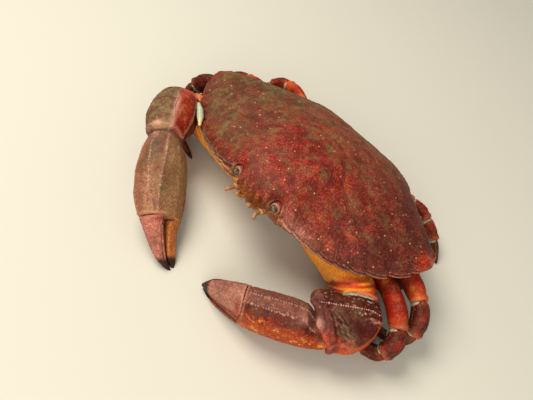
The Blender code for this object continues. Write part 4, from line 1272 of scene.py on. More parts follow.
# %% Shape of a wrist length
def horn(root, tip):
    """The blunt spine, as a grid."""
    root, tip = np.array(root, float), np.array(tip, float)
    high, across = frame_at(unit(tip - root), UP)
    turn, steps = angles(36, 0.0), np.linspace(0.0, 1.0, 26)[:, None]
    size = read(SPINE_SIZES, steps[:, 0]) * SPINE_ROOT
    middle = root + (tip - root) * steps
    return (middle[:, None, :] + high * (0.9 * size * np.cos(turn))[..., None]
            + across * (size * np.sin(turn))[..., None])


def wrist_skin(side_name, shape, spine):
    """One skin over the pressed body of the wrist length, its spine and its bars."""
    body, faces = capped(limb_grid(shape, 72, 0.6, (3.4, 2.0), overhang=OVERHANG[side_name])[0], 4, 0.6)
    bars = [capped(path_grid(path, sizes, UP, 2.4, 70, 28)[0], 3, 0.6) for path, sizes in BARS[side_name]]
    return melted(((flatten(body, *FACETS[side_name]), faces), capped(horn(*spine), 2, 0.3), *bars))


print("wrist shapes ready")

# %% Wrist length with its spine
def arm_carpus(side_name, side, shape, spine):
    points, normals, faces = wrist_skin(side_name, shape, spine)
    s, turn = round_places(points, shape)
    place, ways = FACETS[side_name]
    rear, front = ((points - place) @ unit(way) for way in ways)
    outer, edge = -side * np.sin(turn), (1.0 - s) * length_of(shape)
    on_ridge = bell(rear - front, 0.0, 1.1) * smooth(-7.0, -2.5, rear + front)
    band = smooth(0.4, -0.8, front - rear) * smooth(-9.0, -4.0, rear)
    dark_face = smooth(-0.4, 0.8, front - rear)
    uneven = rough(points, 3.0, 119)
    low = smooth(-6.5, -10.5, rear + 0.8 * uneven)
    low = np.maximum(low, smooth(0.62, 0.35, normals[:, 2] + 0.15 * uneven) * (side > 0))
    grain, wave = grains(points, 1.25, 121), rough(points, 4.0, 127)
    to_rim = np.min([np.linalg.norm(points - spot, axis=1) for spot in resampled(BARS[side_name][-1][0], 50)],
                    axis=0)
    open_end = 1.0 if side < 0 else smooth(5.0, 7.0, to_rim)
    lip = (bell(edge, 1.0, 0.8) - 0.6 * bell(edge, 3.0, 1.0)) * open_end
    wrinkle = bell(noise(points * np.array((0.6, 1.0, 1.0)), 3.2, 128), 0.0, 0.16) * dark_face
    creased = np.clip(sum(near(points, *patch) for patch in CREASED[side_name]), 0.0, 1.0)
    creases = creased * smooth(0.0, 0.25, noise(points * np.array((0.5, 1.2, 1.0)), 0.8, 132))
    lift = (0.14 * grain + 0.05 * grains(points, 0.9, 125) + 0.12 * wave + on_ridge * (0.20 + 0.40 * grain)
            + 0.40 * lip - 0.22 * wrinkle + 0.16 * grain * band + 0.30 * creases)
    knob = bell(np.linalg.norm(points - KNOBS[side_name][0], axis=1), 0.0, 2.2)
    to_spine = np.linalg.norm(points - spine[1], axis=1)
    points = points + normals * (lift + 1.0 * knob)[:, None]
    tint = painted(plain("plum", points),
                   ("ridge brown", 0.85 * band),
                   ("warm plum", 0.6 * smooth(0.1, 0.9, wave) * dark_face),
                   ("low orange", low * smooth(-0.4, 0.4, outer + 0.3)),
                   ("low rust", 0.6 * bell(rear, -7.5, 2.0) * smooth(-0.2, 0.4, wave)),
                   ("spine tip", 0.25 * smooth(6.0, 1.0, to_spine)))
    if side > 0:
        below_knob = near(points, BELOW_KNOB, BELOW_KNOB_HALVES)
        tint = painted(tint, ("knob red", 0.9 * below_knob * smooth(-0.7, 0.2, rough(points, 1.8, 133))),
                       # painted shade: the tone named hollow darkens the wrist length next to its left rim,
                       # outside the red patch below the knob
                       ("hollow", 0.6 * smooth(4.2, 2.4, to_rim) * (1.0 - below_knob)),
                       ("lip pink", 0.3 * smooth(1.2, 0.4, edge)))
    tint = painted(tint, ("crease grey", 0.62 * creases))
    pale = 0.42 * on_ridge * smooth(0.2, 0.7, grain) + 0.35 * band * smooth(0.55, 0.9, grain)
    pale = pale + 0.30 * bell(edge, 0.6, 0.6) * open_end + 0.20 * wrinkle * (wave > 0.1) + 0.62 * knob
    film = 0.22 * smooth(0.1, 1.0, rough(points, 5.0, 129))
    if side < 0:
        top_face = smooth(-0.8, 0.4, rear - front)
        strip = (1.0 - top_face) * smooth(-13.0, -9.0, rear)
        tint = painted(tint, ("top brown", 0.85 * top_face), ("strip red", 0.95 * strip),
                       ("strip orange", 0.6 * strip * smooth(0.2, 0.9, rough(points, 2.4, 131))))
        film = np.clip(film + 0.55 * top_face * smooth(-0.9, 0.7, rough(points, 3.6, 130)), 0.0, 0.8)
        pale = np.maximum(pale, 0.55 * on_ridge + 0.45 * bell(rear, -9.6, 0.7) * (1.0 - top_face))
    make_piece(f"arm_carpus_plate_{side_name}", points, faces, tint, CLAW, "arm_wrist",
               (f"arm_carpus_{side_name}",), film, pale)


print("wrist length ready")

# %% [markdown]
# ### Hands
# The palm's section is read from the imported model's table: a full palm that ends in a slender fixed
# finger.  The moving finger closes on it from above.  Granular ridges run along both, and the finger tips
# are dark.  The split between the fingers leans, so it is lower on the outer side.

# %% Palm and fingers
PALM_STATIONS = ((0.0, 0.36, -0.62, 0.78), (0.10, 0.48, -0.78, 0.92), (0.20, 0.92, -0.95, 1.02),
                 (0.32, 1.03, -1.0, 1.04), (0.46, 1.03, -1.0, 1.0), (0.58, 0.98, -1.0, 0.92),
                 (0.635, 0.90, -0.98, 0.86), (0.645, -0.17, -0.96, 0.74), (0.74, -0.20, -0.88, 0.60),
                 (0.84, -0.25, -0.78, 0.46), (0.93, -0.35, -0.68, 0.28), (0.98, -0.52, -0.62, 0.10))
FINGER_STATIONS = ((0.652, 0.86, -0.13, 0.80), (0.70, 0.86, -0.17, 0.68), (0.79, 0.68, -0.215, 0.54),
                   (0.88, 0.36, -0.27, 0.40), (0.95, 0.02, -0.36, 0.24), (1.0, -0.36, -0.46, 0.08))
SPLIT_LEAN, HAND_SQUARENESS = 0.22, 2.4


def hand_sizes(stations, shoulder, slender):
    """A hand's table with the palm's top raised next to the wrist and the fingers narrowed."""
    sizes = []
    for share, top, bottom, thick in stations:
        narrowed = slender * max(0.0, 1.0 - abs(share - 0.74) / 0.22)
        if top > 0.0:
            top += shoulder * max(0.0, 1.0 - abs(share - 0.08) / 0.12) - narrowed
        if bottom < -0.5:
            bottom += narrowed
        sizes.append((share, top, bottom, thick))
    return sizes


def hand_points(hand, stations, share, turn, face=None, moving=None):
    """Points of a hand.  face slants its end at the wrist, and moving says which side of the split it is."""
    origin, along, high, inner, scale, sweep, fall = hand
    bend = np.maximum(0.0, (share - 0.5) / 0.5) ** 1.6
    middle = (origin + along * (share * HAND_LENGTH * scale)[..., None]
              + inner * (sweep * bend * scale)[..., None] - high * (fall * bend * scale)[..., None])
    top, bottom, thick = np.moveaxis(read(stations, share), -1, 0)
    bulk_u, bulk_v = squarish(turn, HAND_SQUARENESS)
    u = (0.5 * (top + bottom) + 0.5 * (top - bottom) * bulk_u)
    if moving is not None:
        facing = bulk_u < 0.0 if moving else bulk_u > 0.0
        u = u + SPLIT_LEAN * bulk_v * facing * smooth(0.64, 0.66, share) * smooth(1.0, 0.9, share)
    off = high * (u * PALM_HIGH * scale)[..., None] + inner * (bulk_v * thick * PALM_THICK * scale)[..., None]
    if face is not None:
        lean = (off @ face) / (along @ face) * np.clip(1.0 - share / 0.10, 0.0, 1.0)
        off = off - along * lean[..., None]
    return middle + off


def hand_grid(side, shares, columns):
    """For a hand's grid: share along it, the same with the wavy seam, the turn and the angle round it."""
    share, turn = np.meshgrid(shares, angles(columns), indexing="ij")
    seam = 0.006 * np.sin(2.0 * turn + 0.8) * bell(share, 0.64, 0.05)
    return share, share + seam, turn, np.angle(np.exp(-1j * side * turn))


print("hand tools ready")

# %% Tints of the palms
def palm_tint(side, points, angle, share, wave):
    """The near hand: mauve on top, maroon outside, orange with yellow specks below.  The far hand: tan
    with pink and olive streaks, darker near the wrist, orange underneath."""
    around = np.degrees(angle)
    fine = rough(points, 1.5, 141)
    tint = plain("palm maroon", points)
    if side > 0:
        low = smooth(44.0, 72.0, around + 14.0 * fine + 5.0 * wave + 16.0 * smooth(0.4, 0.0, share))
        tint = painted(
            tint,
            ("palm mauve", smooth(24.0, 12.0, around + 6.0 * wave) * smooth(-75.0, -40.0, around)),
            ("palm orange", low),
            ("palm red", 0.6 * smooth(0.0, 0.8, wave) * smooth(30.0, 50.0, around)),
            ("arm yellow", 0.75 * smooth(0.35, 0.8, fine) * smooth(50.0, 70.0, around)))
    else:
        streak = noise(np.stack((around / 13.0, share * 5.0, around * 0.0), -1), 1.0, 145) + 0.4 * fine
        tint = painted(
            tint,
            ("far tan", smooth(-60.0, -10.0, around + 10.0 * wave)),
            ("far dark", 0.85 * smooth(0.34, 0.12, share + 0.03 * wave) * (around < 60.0)),
            ("far mottle", 0.55 * smooth(0.1, 0.8, rough(points, 3.5, 143)) * smooth(0.6, 0.4, share)),
            ("far pink", 0.55 * smooth(0.0, 0.5, streak)),
            ("far olive", 0.50 * smooth(0.0, 0.5, -streak) * smooth(0.62, 0.45, share)),
            ("far ridge", 0.6 * bell(around, -12.0, 16.0)),
            ("far low", 0.7 * smooth(66.0, 84.0, around + 4.0 * wave)),
            ("far under", 0.8 * smooth(112.0, 132.0, around + 6.0 * wave)))
    inner = smooth(-60.0, -100.0, around) + smooth(165.0, 178.0, around)
    return painted(tint, ("inner face", 0.7 * np.clip(inner, 0.0, 1.0)))


print("palm tints ready")

# %% Palm with its fixed finger
# Granular ridges: angle round the palm in degrees at the wrist and at the fingers, and height
RIDGES = {
    "left": ((-12.0, -4.0, 0.7), (16.0, 22.0, 1.0), (62.0, 66.0, 0.35), (95.0, 95.0, 0.3)),
    "right": ((10.0, 40.0, 1.1), (69.0, 56.0, 1.2), (-12.0, -16.0, 0.6), (98.0, 98.0, 0.5)),
}
PALM_ROWS = np.concatenate((np.linspace(0.0, 0.615, 116), np.linspace(0.62, 0.652, 18),
                            np.linspace(0.657, 0.98, 64)))
PALM_COLUMNS, FINGER_COLUMNS = 128, 88


def make_palm(side_name, side, seat, table, face):
    share, wavy, turn, angle = hand_grid(side, PALM_ROWS, PALM_COLUMNS)
    grid = hand_points(seat, table, wavy, turn, face, False)
    core = grid.mean(axis=1, keepdims=True)
    grid = core + (grid - core) * (1.0 - 0.15 * smooth(0.07, 0.0, share))[..., None]
    level = np.cos(angle)
    wave, grain = rough(grid, 4.0, 131), grains(grid, 1.2, 133)
    on_palm = smooth(0.02, 0.14, share) * smooth(0.66, 0.60, share)
    ridges = np.zeros(share.shape)
    for root, end, high_here in RIDGES[side_name]:
        middle = np.radians(mix(root, end, np.clip(share / 0.6, 0.0, 1.0)))
        ridges = np.maximum(ridges, high_here * bell(angle, middle, 0.075))
    ridges = ridges * on_palm
    lip = bell(share, 0.625, 0.007) * smooth(-0.2, 0.3, level) + 0.8 * bell(share, 0.03, 0.012)
    ditch = bell(share, 0.604, 0.010) * smooth(-0.2, 0.3, level) + bell(share, 0.075, 0.02)
    fade = smooth(1.0, 0.85, share)
    lift = fade * (0.16 * grain * smooth(0.8, 0.6, share) + 0.12 * wave)
    lift = lift + ridges * (0.34 + 0.42 * grains(grid, 1.4, 137)) + 0.20 * lip - 0.26 * ditch
    knob = bell(np.linalg.norm(grid - KNOBS[side_name][1], axis=-1), 0.0, 2.3)
    grid = raised(grid, lift + 1.1 * knob)
    grid[..., 2] = np.maximum(grid[..., 2], 0.02)
    on_finger = smooth(0.60, 0.70, share) * smooth(178.0, 120.0, np.abs(np.degrees(angle)))
    tint = painted(palm_tint(side, grid, angle, share, wave), ("palm knob", 0.7 * knob),
                   (f"fixed {side_name}", 0.8 * on_finger),
                   ("claw tip", smooth(0.89, 0.925, share + 0.01 * wave)))
    pale = 0.60 * ridges * smooth(0.1, 0.6, grain) + 0.16 * smooth(0.70, 0.95, grain) * on_palm
    pale = np.clip(pale + 0.25 * lip, 0.0, 1.0) * fade
    if side > 0:
        film = 0.15 * smooth(0.0, 1.0, rough(grid, 6.0, 139)) * on_palm
    else:
        film = 0.60 * smooth(-0.6, 0.6, rough(grid, 5.0, 139)) * on_palm * smooth(5.0, 30.0, np.degrees(angle))
    make_plate(f"palm_plate_{side_name}", grid, tint, CLAW, "claw", (f"palm_{side_name}",), film, pale, 3, 0.15)


print("palm tools ready")

# %% Moving finger
def make_finger(side_name, side, hand, table):
    share, wavy, turn, angle = hand_grid(side, np.linspace(0.6440, 1.0, 86), FINGER_COLUMNS)
    grid = hand_points(hand, table, wavy, turn, None, True)
    around = np.degrees(angle)
    wave, grain = rough(grid, 4.0, 151), grains(grid, 1.1, 153)
    fade = smooth(1.0, 0.9, share)
    ridges = np.max([high_here * bell(around, place, 8.0)
                     for place, high_here in ((5.0, 0.7), (45.0, 1.0), (85.0, 0.6))],
                    axis=0) * smooth(1.0, 0.88, share)
    neck = bell(share, 0.646, 0.010)
    grid = raised(grid, fade * (0.10 * grain + 0.10 * wave)
                  + ridges * (0.20 + 0.25 * grain * smooth(0.85, 0.7, share))
                  - 0.20 * neck - 0.22 * bell(share, 0.70, 0.012) * fade)
    grid[..., 2] = np.maximum(grid[..., 2], 0.02)
    tint = painted(plain(f"finger {side_name}", grid),
                   ("finger mottle", 0.7 * smooth(-0.2, 0.8, wave)),
                   ("finger root", 0.75 * smooth(0.71, 0.665, share) * smooth(20.0, 50.0, around)),
                   ("finger below", 0.6 * smooth(80.0, 110.0, around)),
                   ("claw tip", smooth(0.915, 0.945, share + 0.008 * wave)))
    pale = (0.35 * ridges * grain + 0.3 * neck + 0.2 * smooth(0.7, 0.95, grain)) * fade
    make_plate(f"finger_plate_{side_name}", grid, tint, CLAW, "claw", (f"finger_{side_name}",),
               0.0, pale, 3, 0.15)


print("finger tools ready")

# %% Make both arms
ARM_SHAPES, PALMS = {}, {}
for side_name, side in SIDES:
    arm = ARMS[side_name]
    scale, palm_up = arm["scale"], np.array(arm["palm_up"])
    joints = joints_of([arm[key] for key in ("hip", "elbow", "wrist", "aim")],
                       np.array(ARM_START) * (side, 1.0, 1.0))
    tables = [sized(table, ARM_HIGH, ARM_HIGH, scale, power)
              for table, power in ((ARM_MERUS, 2.4), (ARM_CARPUS, 3.0))]
    upper = (*joints[:2], (ARM_UP, ARM_UP), tables[0], NO_BULGE)
    lower = (*joints[1:3], (ARM_UP, mix(ARM_UP, palm_up, 0.5)), tables[1], arm["bulge"])
    ARM_SHAPES[side_name] = upper, lower
    arm_merus(side_name, side, upper)
    arm_carpus(side_name, side, lower, arm["spine"])
    origin, face = joints[2][:2]
    along = unit(joints[3][0] - origin)
    high = unit(palm_up - along * (palm_up @ along))
    placing = (along, high, np.cross(along, high) * side, scale, arm["sweep"], arm["fall"])
    palm, finger = (hand_sizes(table, arm["shoulder"], arm["slender"])
                    for table in (PALM_STATIONS, FINGER_STATIONS))
    PALMS[side_name] = (origin + along * 0.15, *placing), palm, face
    make_palm(side_name, side, *PALMS[side_name])
    make_finger(side_name, side, (origin, *placing), finger)
print("plates so far:", len(PIECES))

# %% [markdown]
# ## Rows of grains and rings along a path
# Beads that line an edge repeat along a path, which Geometry Nodes does well: a curve is resampled, a
# small ball is set on each point, and every ball gets its own size.  A second tree draws a ringed
# feeler.  Each tree's result is made into plain points and faces, so a piece can hold many rows.

# %% Tools for geometry trees
def new_tree(name, numbers, spacing_key, spacing, **settings):
    """A tree whose path comes in as edges and is resampled.  Returns it, its inputs and the path."""
    tree = bpy.data.node_groups.new(name, "GeometryNodeTree")
    kinds = {key: ("Int" if isinstance(value, int) else "Float", value) for key, value in numbers.items()}
    add_sockets(tree, "INPUT", {"Geometry": ("Geometry",), **kinds})
    add_sockets(tree, "OUTPUT", {"Geometry": ("Geometry",)})
    entry = tree.nodes.new("NodeGroupInput").outputs
    path = add_node(tree, "GeometryNodeMeshToCurve", {"Mesh": entry["Geometry"]})
    path = add_node(tree, "GeometryNodeResampleCurve",
                    {"Curve": path.outputs["Curve"], spacing_key: spacing(tree, entry)}, **settings)
    return tree, entry, path.outputs["Curve"]


def end_tree(tree, geometry, material):
    real = add_node(tree, "GeometryNodeRealizeInstances", {"Geometry": geometry}).outputs["Geometry"]
    coloured = add_node(tree, "GeometryNodeSetMaterial", {"Geometry": real, "Material": material})
    add_node(tree, "NodeGroupOutput", {"Geometry": coloured.outputs["Geometry"]})
    return tree


def grown(tree, path_points, **numbers):
    """The points and faces that a tree makes along a path, in millimetres."""
    mesh = bpy.data.meshes.new("path")
    path_points = np.asarray(path_points, float)
    mesh.from_pydata(path_points.tolist(), [(k, k + 1) for k in range(len(path_points) - 1)], [])
    thing = shown("path", mesh)
    modifier = thing.modifiers.new(tree.name, "NODES")
    modifier.node_group = tree
    for item in tree.interface.items_tree:
        if item.in_out == "INPUT" and item.name.replace(" ", "_") in numbers:
            modifier[item.identifier] = numbers[item.name.replace(" ", "_")]
    points, _, faces = finished(thing)
    return points, faces


print("tree tools ready")

# %% Row of beads
tree, entry, path = new_tree(
    "row of beads", {"Spacing": 1.0, "Bead radius": 0.3, "Unevenness": 0.35, "Seed": 1},
    "Length", lambda tree, entry: entry["Spacing"], mode="LENGTH")
ball = add_node(tree, "GeometryNodeMeshUVSphere", {"Radius": 1.0, "Segments": 8, "Rings": 6})
low, high = (maths(tree, "MULTIPLY", entry["Bead radius"], maths(tree, way, 1.0, entry["Unevenness"]))
             for way in ("SUBTRACT", "ADD"))
chance = add_node(tree, "FunctionNodeRandomValue", {2: low, 3: high, "Seed": entry["Seed"]}, data_type="FLOAT")
beads = add_node(tree, "GeometryNodeInstanceOnPoints", {"Points": path, "Instance": ball.outputs["Mesh"],
                                                        "Scale": chance.outputs[1]})
BEADS = end_tree(tree, beads.outputs["Instances"], KNOB)
print("bead nodes:", len(BEADS.nodes))

# %% Ringed feeler
tree, entry, path = new_tree("ringed feeler", {"Root radius": 0.5, "Tip radius": 0.12, "Rings": 14},
                             "Count", lambda tree, entry: maths(tree, "MULTIPLY", entry["Rings"], 8.0))
along = add_node(tree, "GeometryNodeSplineParameter").outputs["Factor"]
waves = maths(tree, "SINE", maths(tree, "MULTIPLY", maths(tree, "MULTIPLY", along, entry["Rings"]),
                                  2.0 * math.pi))
even = add_node(tree, "ShaderNodeMapRange", {"Value": along, "To Min": entry["Root radius"],
                                             "To Max": entry["Tip radius"]}).outputs["Result"]
ringed = maths(tree, "MULTIPLY", even, maths(tree, "ADD", 1.0, maths(tree, "MULTIPLY", waves, 0.14)))
path = add_node(tree, "GeometryNodeSetCurveRadius", {"Curve": path, "Radius": ringed})
circle = add_node(tree, "GeometryNodeCurvePrimitiveCircle", {"Resolution": 12, "Radius": 1.0})
skin = add_node(tree, "GeometryNodeCurveToMesh", {"Curve": path.outputs["Curve"], "Fill Caps": True,
                                                  "Profile Curve": circle.outputs["Curve"]})
FEELER = end_tree(tree, skin.outputs["Mesh"], KNOB)
print("feeler nodes:", len(FEELER.nodes))

# %% Beads on the shell's edge and along the ridges of the palms and wrist lengths
WRIST_RIDGES = {
    "left": ((54.5, -53.5, 23.1), (56.7, -51.5, 23.5), (58.6, -49.9, 24.0), (60.9, -49.0, 25.1),
             (63.0, -47.6, 26.1), (64.6, -46.2, 26.2), (66.6, -44.2, 26.2), (68.6, -41.9, 25.6),
             (70.6, -39.7, 25.2), (72.6, -38.0, 24.8), (75.4, -37.0, 24.6)),
    "right": ((-67.8, -38.2, 39.2), (-64.7, -41.0, 40.2), (-62.7, -43.4, 40.7), (-61.1, -45.7, 40.5),
              (-59.0, -47.3, 39.8), (-57.2, -48.9, 39.6), (-56.0, -50.9, 38.5), (-54.5, -52.7, 38.0)),
}
BEADED_HEIGHT = 0.6
for side_name, side in SIDES:
    chosen = (edge_y < 0.0) & (side * edge_x > 17.0)
    order = np.argsort(side * edge_x[chosen])
    row = whole[rows - 1][chosen][order] + (0.0, 0.0, 0.05)
    beads = grown(BEADS, row[::2], Spacing=0.80, Bead_radius=0.21, Seed=3)
    make_piece(f"edge_beads_{side_name}", *beads, TONES["edge bead"], KNOB, "shell", (), 0.0, 0.25)
    seat, table, face = PALMS[side_name]
    lines, share = [], np.linspace(0.10, 0.60, 40)
    for root, end, high_here in RIDGES[side_name]:
        if high_here >= BEADED_HEIGHT:
            angle = -side * np.radians(mix(root, end, share / 0.6))
            line, opposite = (hand_points(seat, table, share, angle + more, face, False)
                              for more in (0.0, math.pi))
            outward = unit(line - opposite)
            lines.append(grown(BEADS, line + 0.25 * outward, Spacing=1.15, Bead_radius=0.40, Seed=5))
    make_piece(f"palm_beads_{side_name}", *gathered(lines), TONES["palm bead"], KNOB, "claw", (), 0.0, 0.22)
    beads = grown(BEADS, WRIST_RIDGES[side_name], Spacing=1.05, Bead_radius=0.44, Seed=7)
    make_piece(f"wrist_beads_{side_name}", *beads, TONES["wrist bead"], KNOB, "arm_wrist", (), 0.0, 0.30)
print("rows of beads done, pieces:", len(PIECES))

# %% [markdown]
# ## Eyes and feelers
# Each eye is a dark, faceted ball on a short stalk that lies in a notch of the shell.  Two pairs of
# feelers stand between the eyes: the antennae with a thick base joint, and the small folded antennules.

# %% Eye finish
eye_material, tree, look = new_material("eye")
where = add_node(tree, "ShaderNodeTexCoord").outputs["Object"]
facets, _ = cells(tree, where, 5200.0)
mist = stretch(tree, cloud(tree, where, 900.0), 0.42, 0.62)
bumps = add_node(tree, "ShaderNodeBump", {"Height": facets, "Strength": 0.25, "Distance": 0.00008})
tree.links.new(mixed(tree, mist, opaque("302412"), opaque("6a5430")), look["Base Color"])
tree.links.new(bumps.outputs["Normal"], look["Normal"])
for key, value in (("Roughness", 0.28), ("Coat Weight", 0.15), ("Specular IOR Level", 0.35)):
    look[key].default_value = value
print("eye material ready")

# %% Eyes and stalks
def make_eye(side_name, side):
    flip = np.array((side, 1.0, 1.0))
    grid, _ = ball_grid(EYE_PLACE * flip, (EYE_RADIUS, EYE_RADIUS, EYE_RADIUS * 0.94))
    make_plate(f"eye_ball_{side_name}", grid, TONES["eyeball"], eye_material, "eye", (f"eye_{side_name}",),
               rings=1, rise=0.0)
    grid, shape = ball_grid((EYE_PLACE + STALK_SHIFT) * flip, STALK_HALVES, 60, 64)
    to_eye = np.linalg.norm(grid - EYE_PLACE * flip, axis=-1)
    grid = grid - shape * np.maximum(EYE_RADIUS + 0.12 - to_eye, 0.0)[..., None]
    collar = bell(to_eye, EYE_RADIUS + 0.55, 0.45)
    relief = 0.06 * grains(grid, 0.7, 161) - 0.1 * bell(to_eye, EYE_RADIUS + 1.3, 0.4)
    grid = grid + shape * relief[..., None]
    tint = painted(plain("stalk", grid), ("stalk collar", 0.75 * collar))
    make_plate(f"eyestalk_skin_{side_name}", grid, tint, KNOB, "eyestalk", (f"eyestalk_{side_name}",),
               0.0, 0.10 * collar, 1, 0.0)


print("eye tools ready")

# %% Eyes and feelers of each side
# For each pair: places and half sizes of the base, its squareness, rows and columns, how rough it is,
# where its end tone begins and is full; then the whip's places, its number of steps, its radii and rings
FEELERS = {
    "antenna": (((8.6, -45.0, 34.6), (8.8, -50.2, 34.4), (8.7, -51.2, 34.6)), (2.0, 1.8, 1.0),
                (2.2, 50, 44), 1.0, (0.6, 0.95),
                ((8.7, -51.2, 34.6), (8.7, -51.9, 34.8), (8.9, -53.8, 35.2), (9.8, -55.8, 34.6)),
                24, (0.36, 0.13, 11), "antenna whip"),
    "antennule": (((3.2, -45.5, 34.0), (3.2, -50.4, 33.4), (3.3, -51.6, 33.9)), (1.5, 1.3, 0.7),
                  (2.1, 40, 36), 0.0, (0.7, 1.0),
                  ((3.3, -51.6, 33.9), (3.4, -53.0, 34.8), (3.7, -53.7, 36.2), (4.0, -54.2, 37.2)),
                  20, (0.34, 0.14, 7), "antennule end"),
}
for side_name, side in SIDES:
    make_eye(side_name, side)
    for kind, row in FEELERS.items():
        base, halves, fineness, roughness, ends, whip, steps, (root, tip, rings), whip_tone = row
        base, whip = (np.array(places) * (side, 1.0, 1.0) for places in (base, whip))
        grid, s, _ = path_grid(base, [(half, half) for half in halves], (0.1, 0, 1), *fineness)
        grid = raised(grid, roughness * (0.08 * grains(grid, 0.8, 163) - 0.2 * bell(s, 0.72, 0.05)))
        tint = painted(plain(kind, grid), (f"{kind} end", smooth(*ends, s)))
        lash = grown(FEELER, resampled(whip, steps), Root_radius=root, Tip_radius=tip, Rings=rings)
        tint = np.concatenate((spread(tint, 3), plain(whip_tone, lash[0])))
        make_piece(f"{kind}_joints_{side_name}", *gathered((capped(grid, 3, 0.2), lash)), tint, KNOB,
                   "feeler", (f"{kind}_{side_name}",), 0.0, 0.03)
print("face pieces done, pieces:", len(PIECES))

# %% [markdown]
# ## Underside
# The trunk carries the sternal plates, parted by shallow furrows that fan out to the legs.  The tail is
# folded flat beneath it in seven plates.  The outer mouth plates close the front.

# %% Trunk
# Rows of level, height above the floor, half width, and reach ahead and behind
TRUNK = ((0.0, 21.7, 30.0, 27.0, 28.5), (1.0, 16.0, 30.0, 27.0, 30.0), (2.0, 10.0, 27.0, 26.0, 30.0),
         (3.0, 6.0, 23.0, 24.0, 28.0), (4.0, 4.0, 18.0, 21.0, 25.0))
TRUNK_SQUARENESS, KEEL, FURROWS_AT = 2.8, np.array((0.0, 2.0, 4.0)), (-13.0, -5.0, 4.0, 13.0, 21.0)
z, wide, ahead, behind = (column[:, None] for column in read(TRUNK, np.linspace(0.0, 4.0, 60)).T)
c, d = squarish(angles(180, 0.0)[None, :], TRUNK_SQUARENESS)
x, y = c * wide, d * (behind + ahead) / 2.0 + (behind - ahead) / 2.0
side_rows = np.stack((x, y, np.broadcast_to(z, x.shape)), -1)
floor_rows = KEEL + (side_rows[-1][None] - KEEL) * np.linspace(0.97, 0.02, 50)[:, None, None]
grid = np.concatenate((side_rows, floor_rows))
across, height = np.abs(grid[..., 0]), grid[..., 2]
furrow = np.zeros(grid.shape[:2])
for furrow_y in FURROWS_AT:
    slant = furrow_y + 0.16 * (furrow_y + 2.0) / 10.0 * across
    furrow = np.maximum(furrow, bell(grid[..., 1] - slant, 0.0, 0.8))
furrow = furrow * smooth(14.0, 7.0, height) * smooth(5.0, 8.0, across)
furrow = np.maximum(furrow, 0.8 * bell(across, 6.5, 0.8) * smooth(9.0, 4.5, height))
out = np.concatenate((grid_normals(side_rows), np.broadcast_to((0.0, 0.0, -1.0), floor_rows.shape)))
grid = grid + out * (0.12 * rough(grid, 3.0, 171) + 0.06 * grains(grid, 1.2, 173) - 0.55 * furrow)[..., None]
tint = painted(plain("sternum", grid), ("sternum mottle", smooth(-0.2, 0.9, rough(grid, 5.0, 175))),
               ("furrow", 0.5 * furrow))
make_plate("sternal_plates", grid, tint, BELLY, "underside", ("thorax",), rings=1, rise=0.0)
print("sternal plates:", grid.shape)

# %% Tail and mouth plates
# The tail's rows of Y, height, half width and half thickness
TAIL = ((38.6, 17.2, 15.0, 1.2), (38.2, 10.6, 15.5, 1.5), (35.0, 5.4, 14.5, 1.4), (28.0, 2.4, 12.6, 1.2),
        (19.0, 2.0, 10.4, 1.1), (9.5, 2.0, 8.0, 1.1), (-1.0, 2.0, 5.4, 1.0), (-9.5, 2.0, 1.6, 0.7))
SIDEWAYS = (1.0, 0.0, 0.0)
places = [(0.0, y, z) for y, z, _, _ in TAIL]
grid, s, _ = path_grid(places, [row[2:] for row in TAIL], SIDEWAYS, 3.0, 190, 96)
plate_edge = np.zeros(s.shape)
for stop in stops_of(np.array(places))[1:-1]:
    behind = (stop - s) / 0.035
    plate_edge = np.maximum(plate_edge, np.where(behind > 0.0, np.exp(-behind ** 2), 0.0))
    plate_edge -= 0.7 * bell(s, stop + 0.008, 0.007)
grid = raised(grid, 0.33 * plate_edge + 0.08 * rough(grid, 3.0, 181))
round_off = 0.55 * smooth(0.10, 0.0, s)[..., None]
grid = mix(grid, grid.mean(axis=1, keepdims=True) * (0.0, 1.0, 1.0) + grid * (0.80, 0.0, 0.0), round_off)
tint = painted(plain("tail", grid), ("tail root", smooth(0.75, 0.35, s)),
               ("tail edge", 0.5 * np.clip(plate_edge, 0.0, 1.0) * smooth(0.4, 0.8, s)))
make_plate("tail_plates", grid, tint, BELLY, "underside", ("abdomen",))
MOUTH = ((5.3, -20.0, 5.2), (5.3, -28.0, 8.4), (5.2, -33.0, 15.0), (5.0, -36.5, 21.0), (4.6, -39.0, 25.4))
MOUTH_SIZES = ((4.2, 1.6), (4.8, 1.9), (4.9, 1.8), (4.2, 1.5), (2.6, 1.0))
for side_name, side in SIDES:
    grid, s, turn = path_grid(np.array(MOUTH) * (side, 1.0, 1.0), MOUTH_SIZES, SIDEWAYS, 3.2, 110, 72)
    seams = bell(s, 0.42, 0.012) + bell(s, 0.74, 0.012)
    groove = bell(np.cos(turn), side * 0.45, 0.08) * smooth(0.05, 0.2, s) * smooth(0.72, 0.6, s)
    relief = 0.10 * grains(grid, 1.1, 191) + 0.1 * rough(grid, 3.0, 193) - 0.35 * seams - 0.35 * groove
    grid = raised(grid, relief)
    tint = painted(plain("mouth", grid), ("mouth end", smooth(0.3, 0.9, s)))
    make_plate(f"mouth_plate_skin_{side_name}", grid, tint, BELLY, "underside", (f"mouth_plate_{side_name}",))
print("underside done, pieces:", len(PIECES))

# %% [markdown]
# ## Joint skins
# Soft pale skin bridges each bend.  It runs from inside one plate to inside the next along a short
# path, a little thinner than the plates, with a few folds across it.

# %% Skins of the bends
SKIN_TURN = angles(64)


def end_ring(shape, s, shrink):
    """A ring of points inside a length, at s along it."""
    point, upward, across = section(shape, np.full(SKIN_TURN.shape, s), SKIN_TURN)
    return point + shrink * (upward + across)


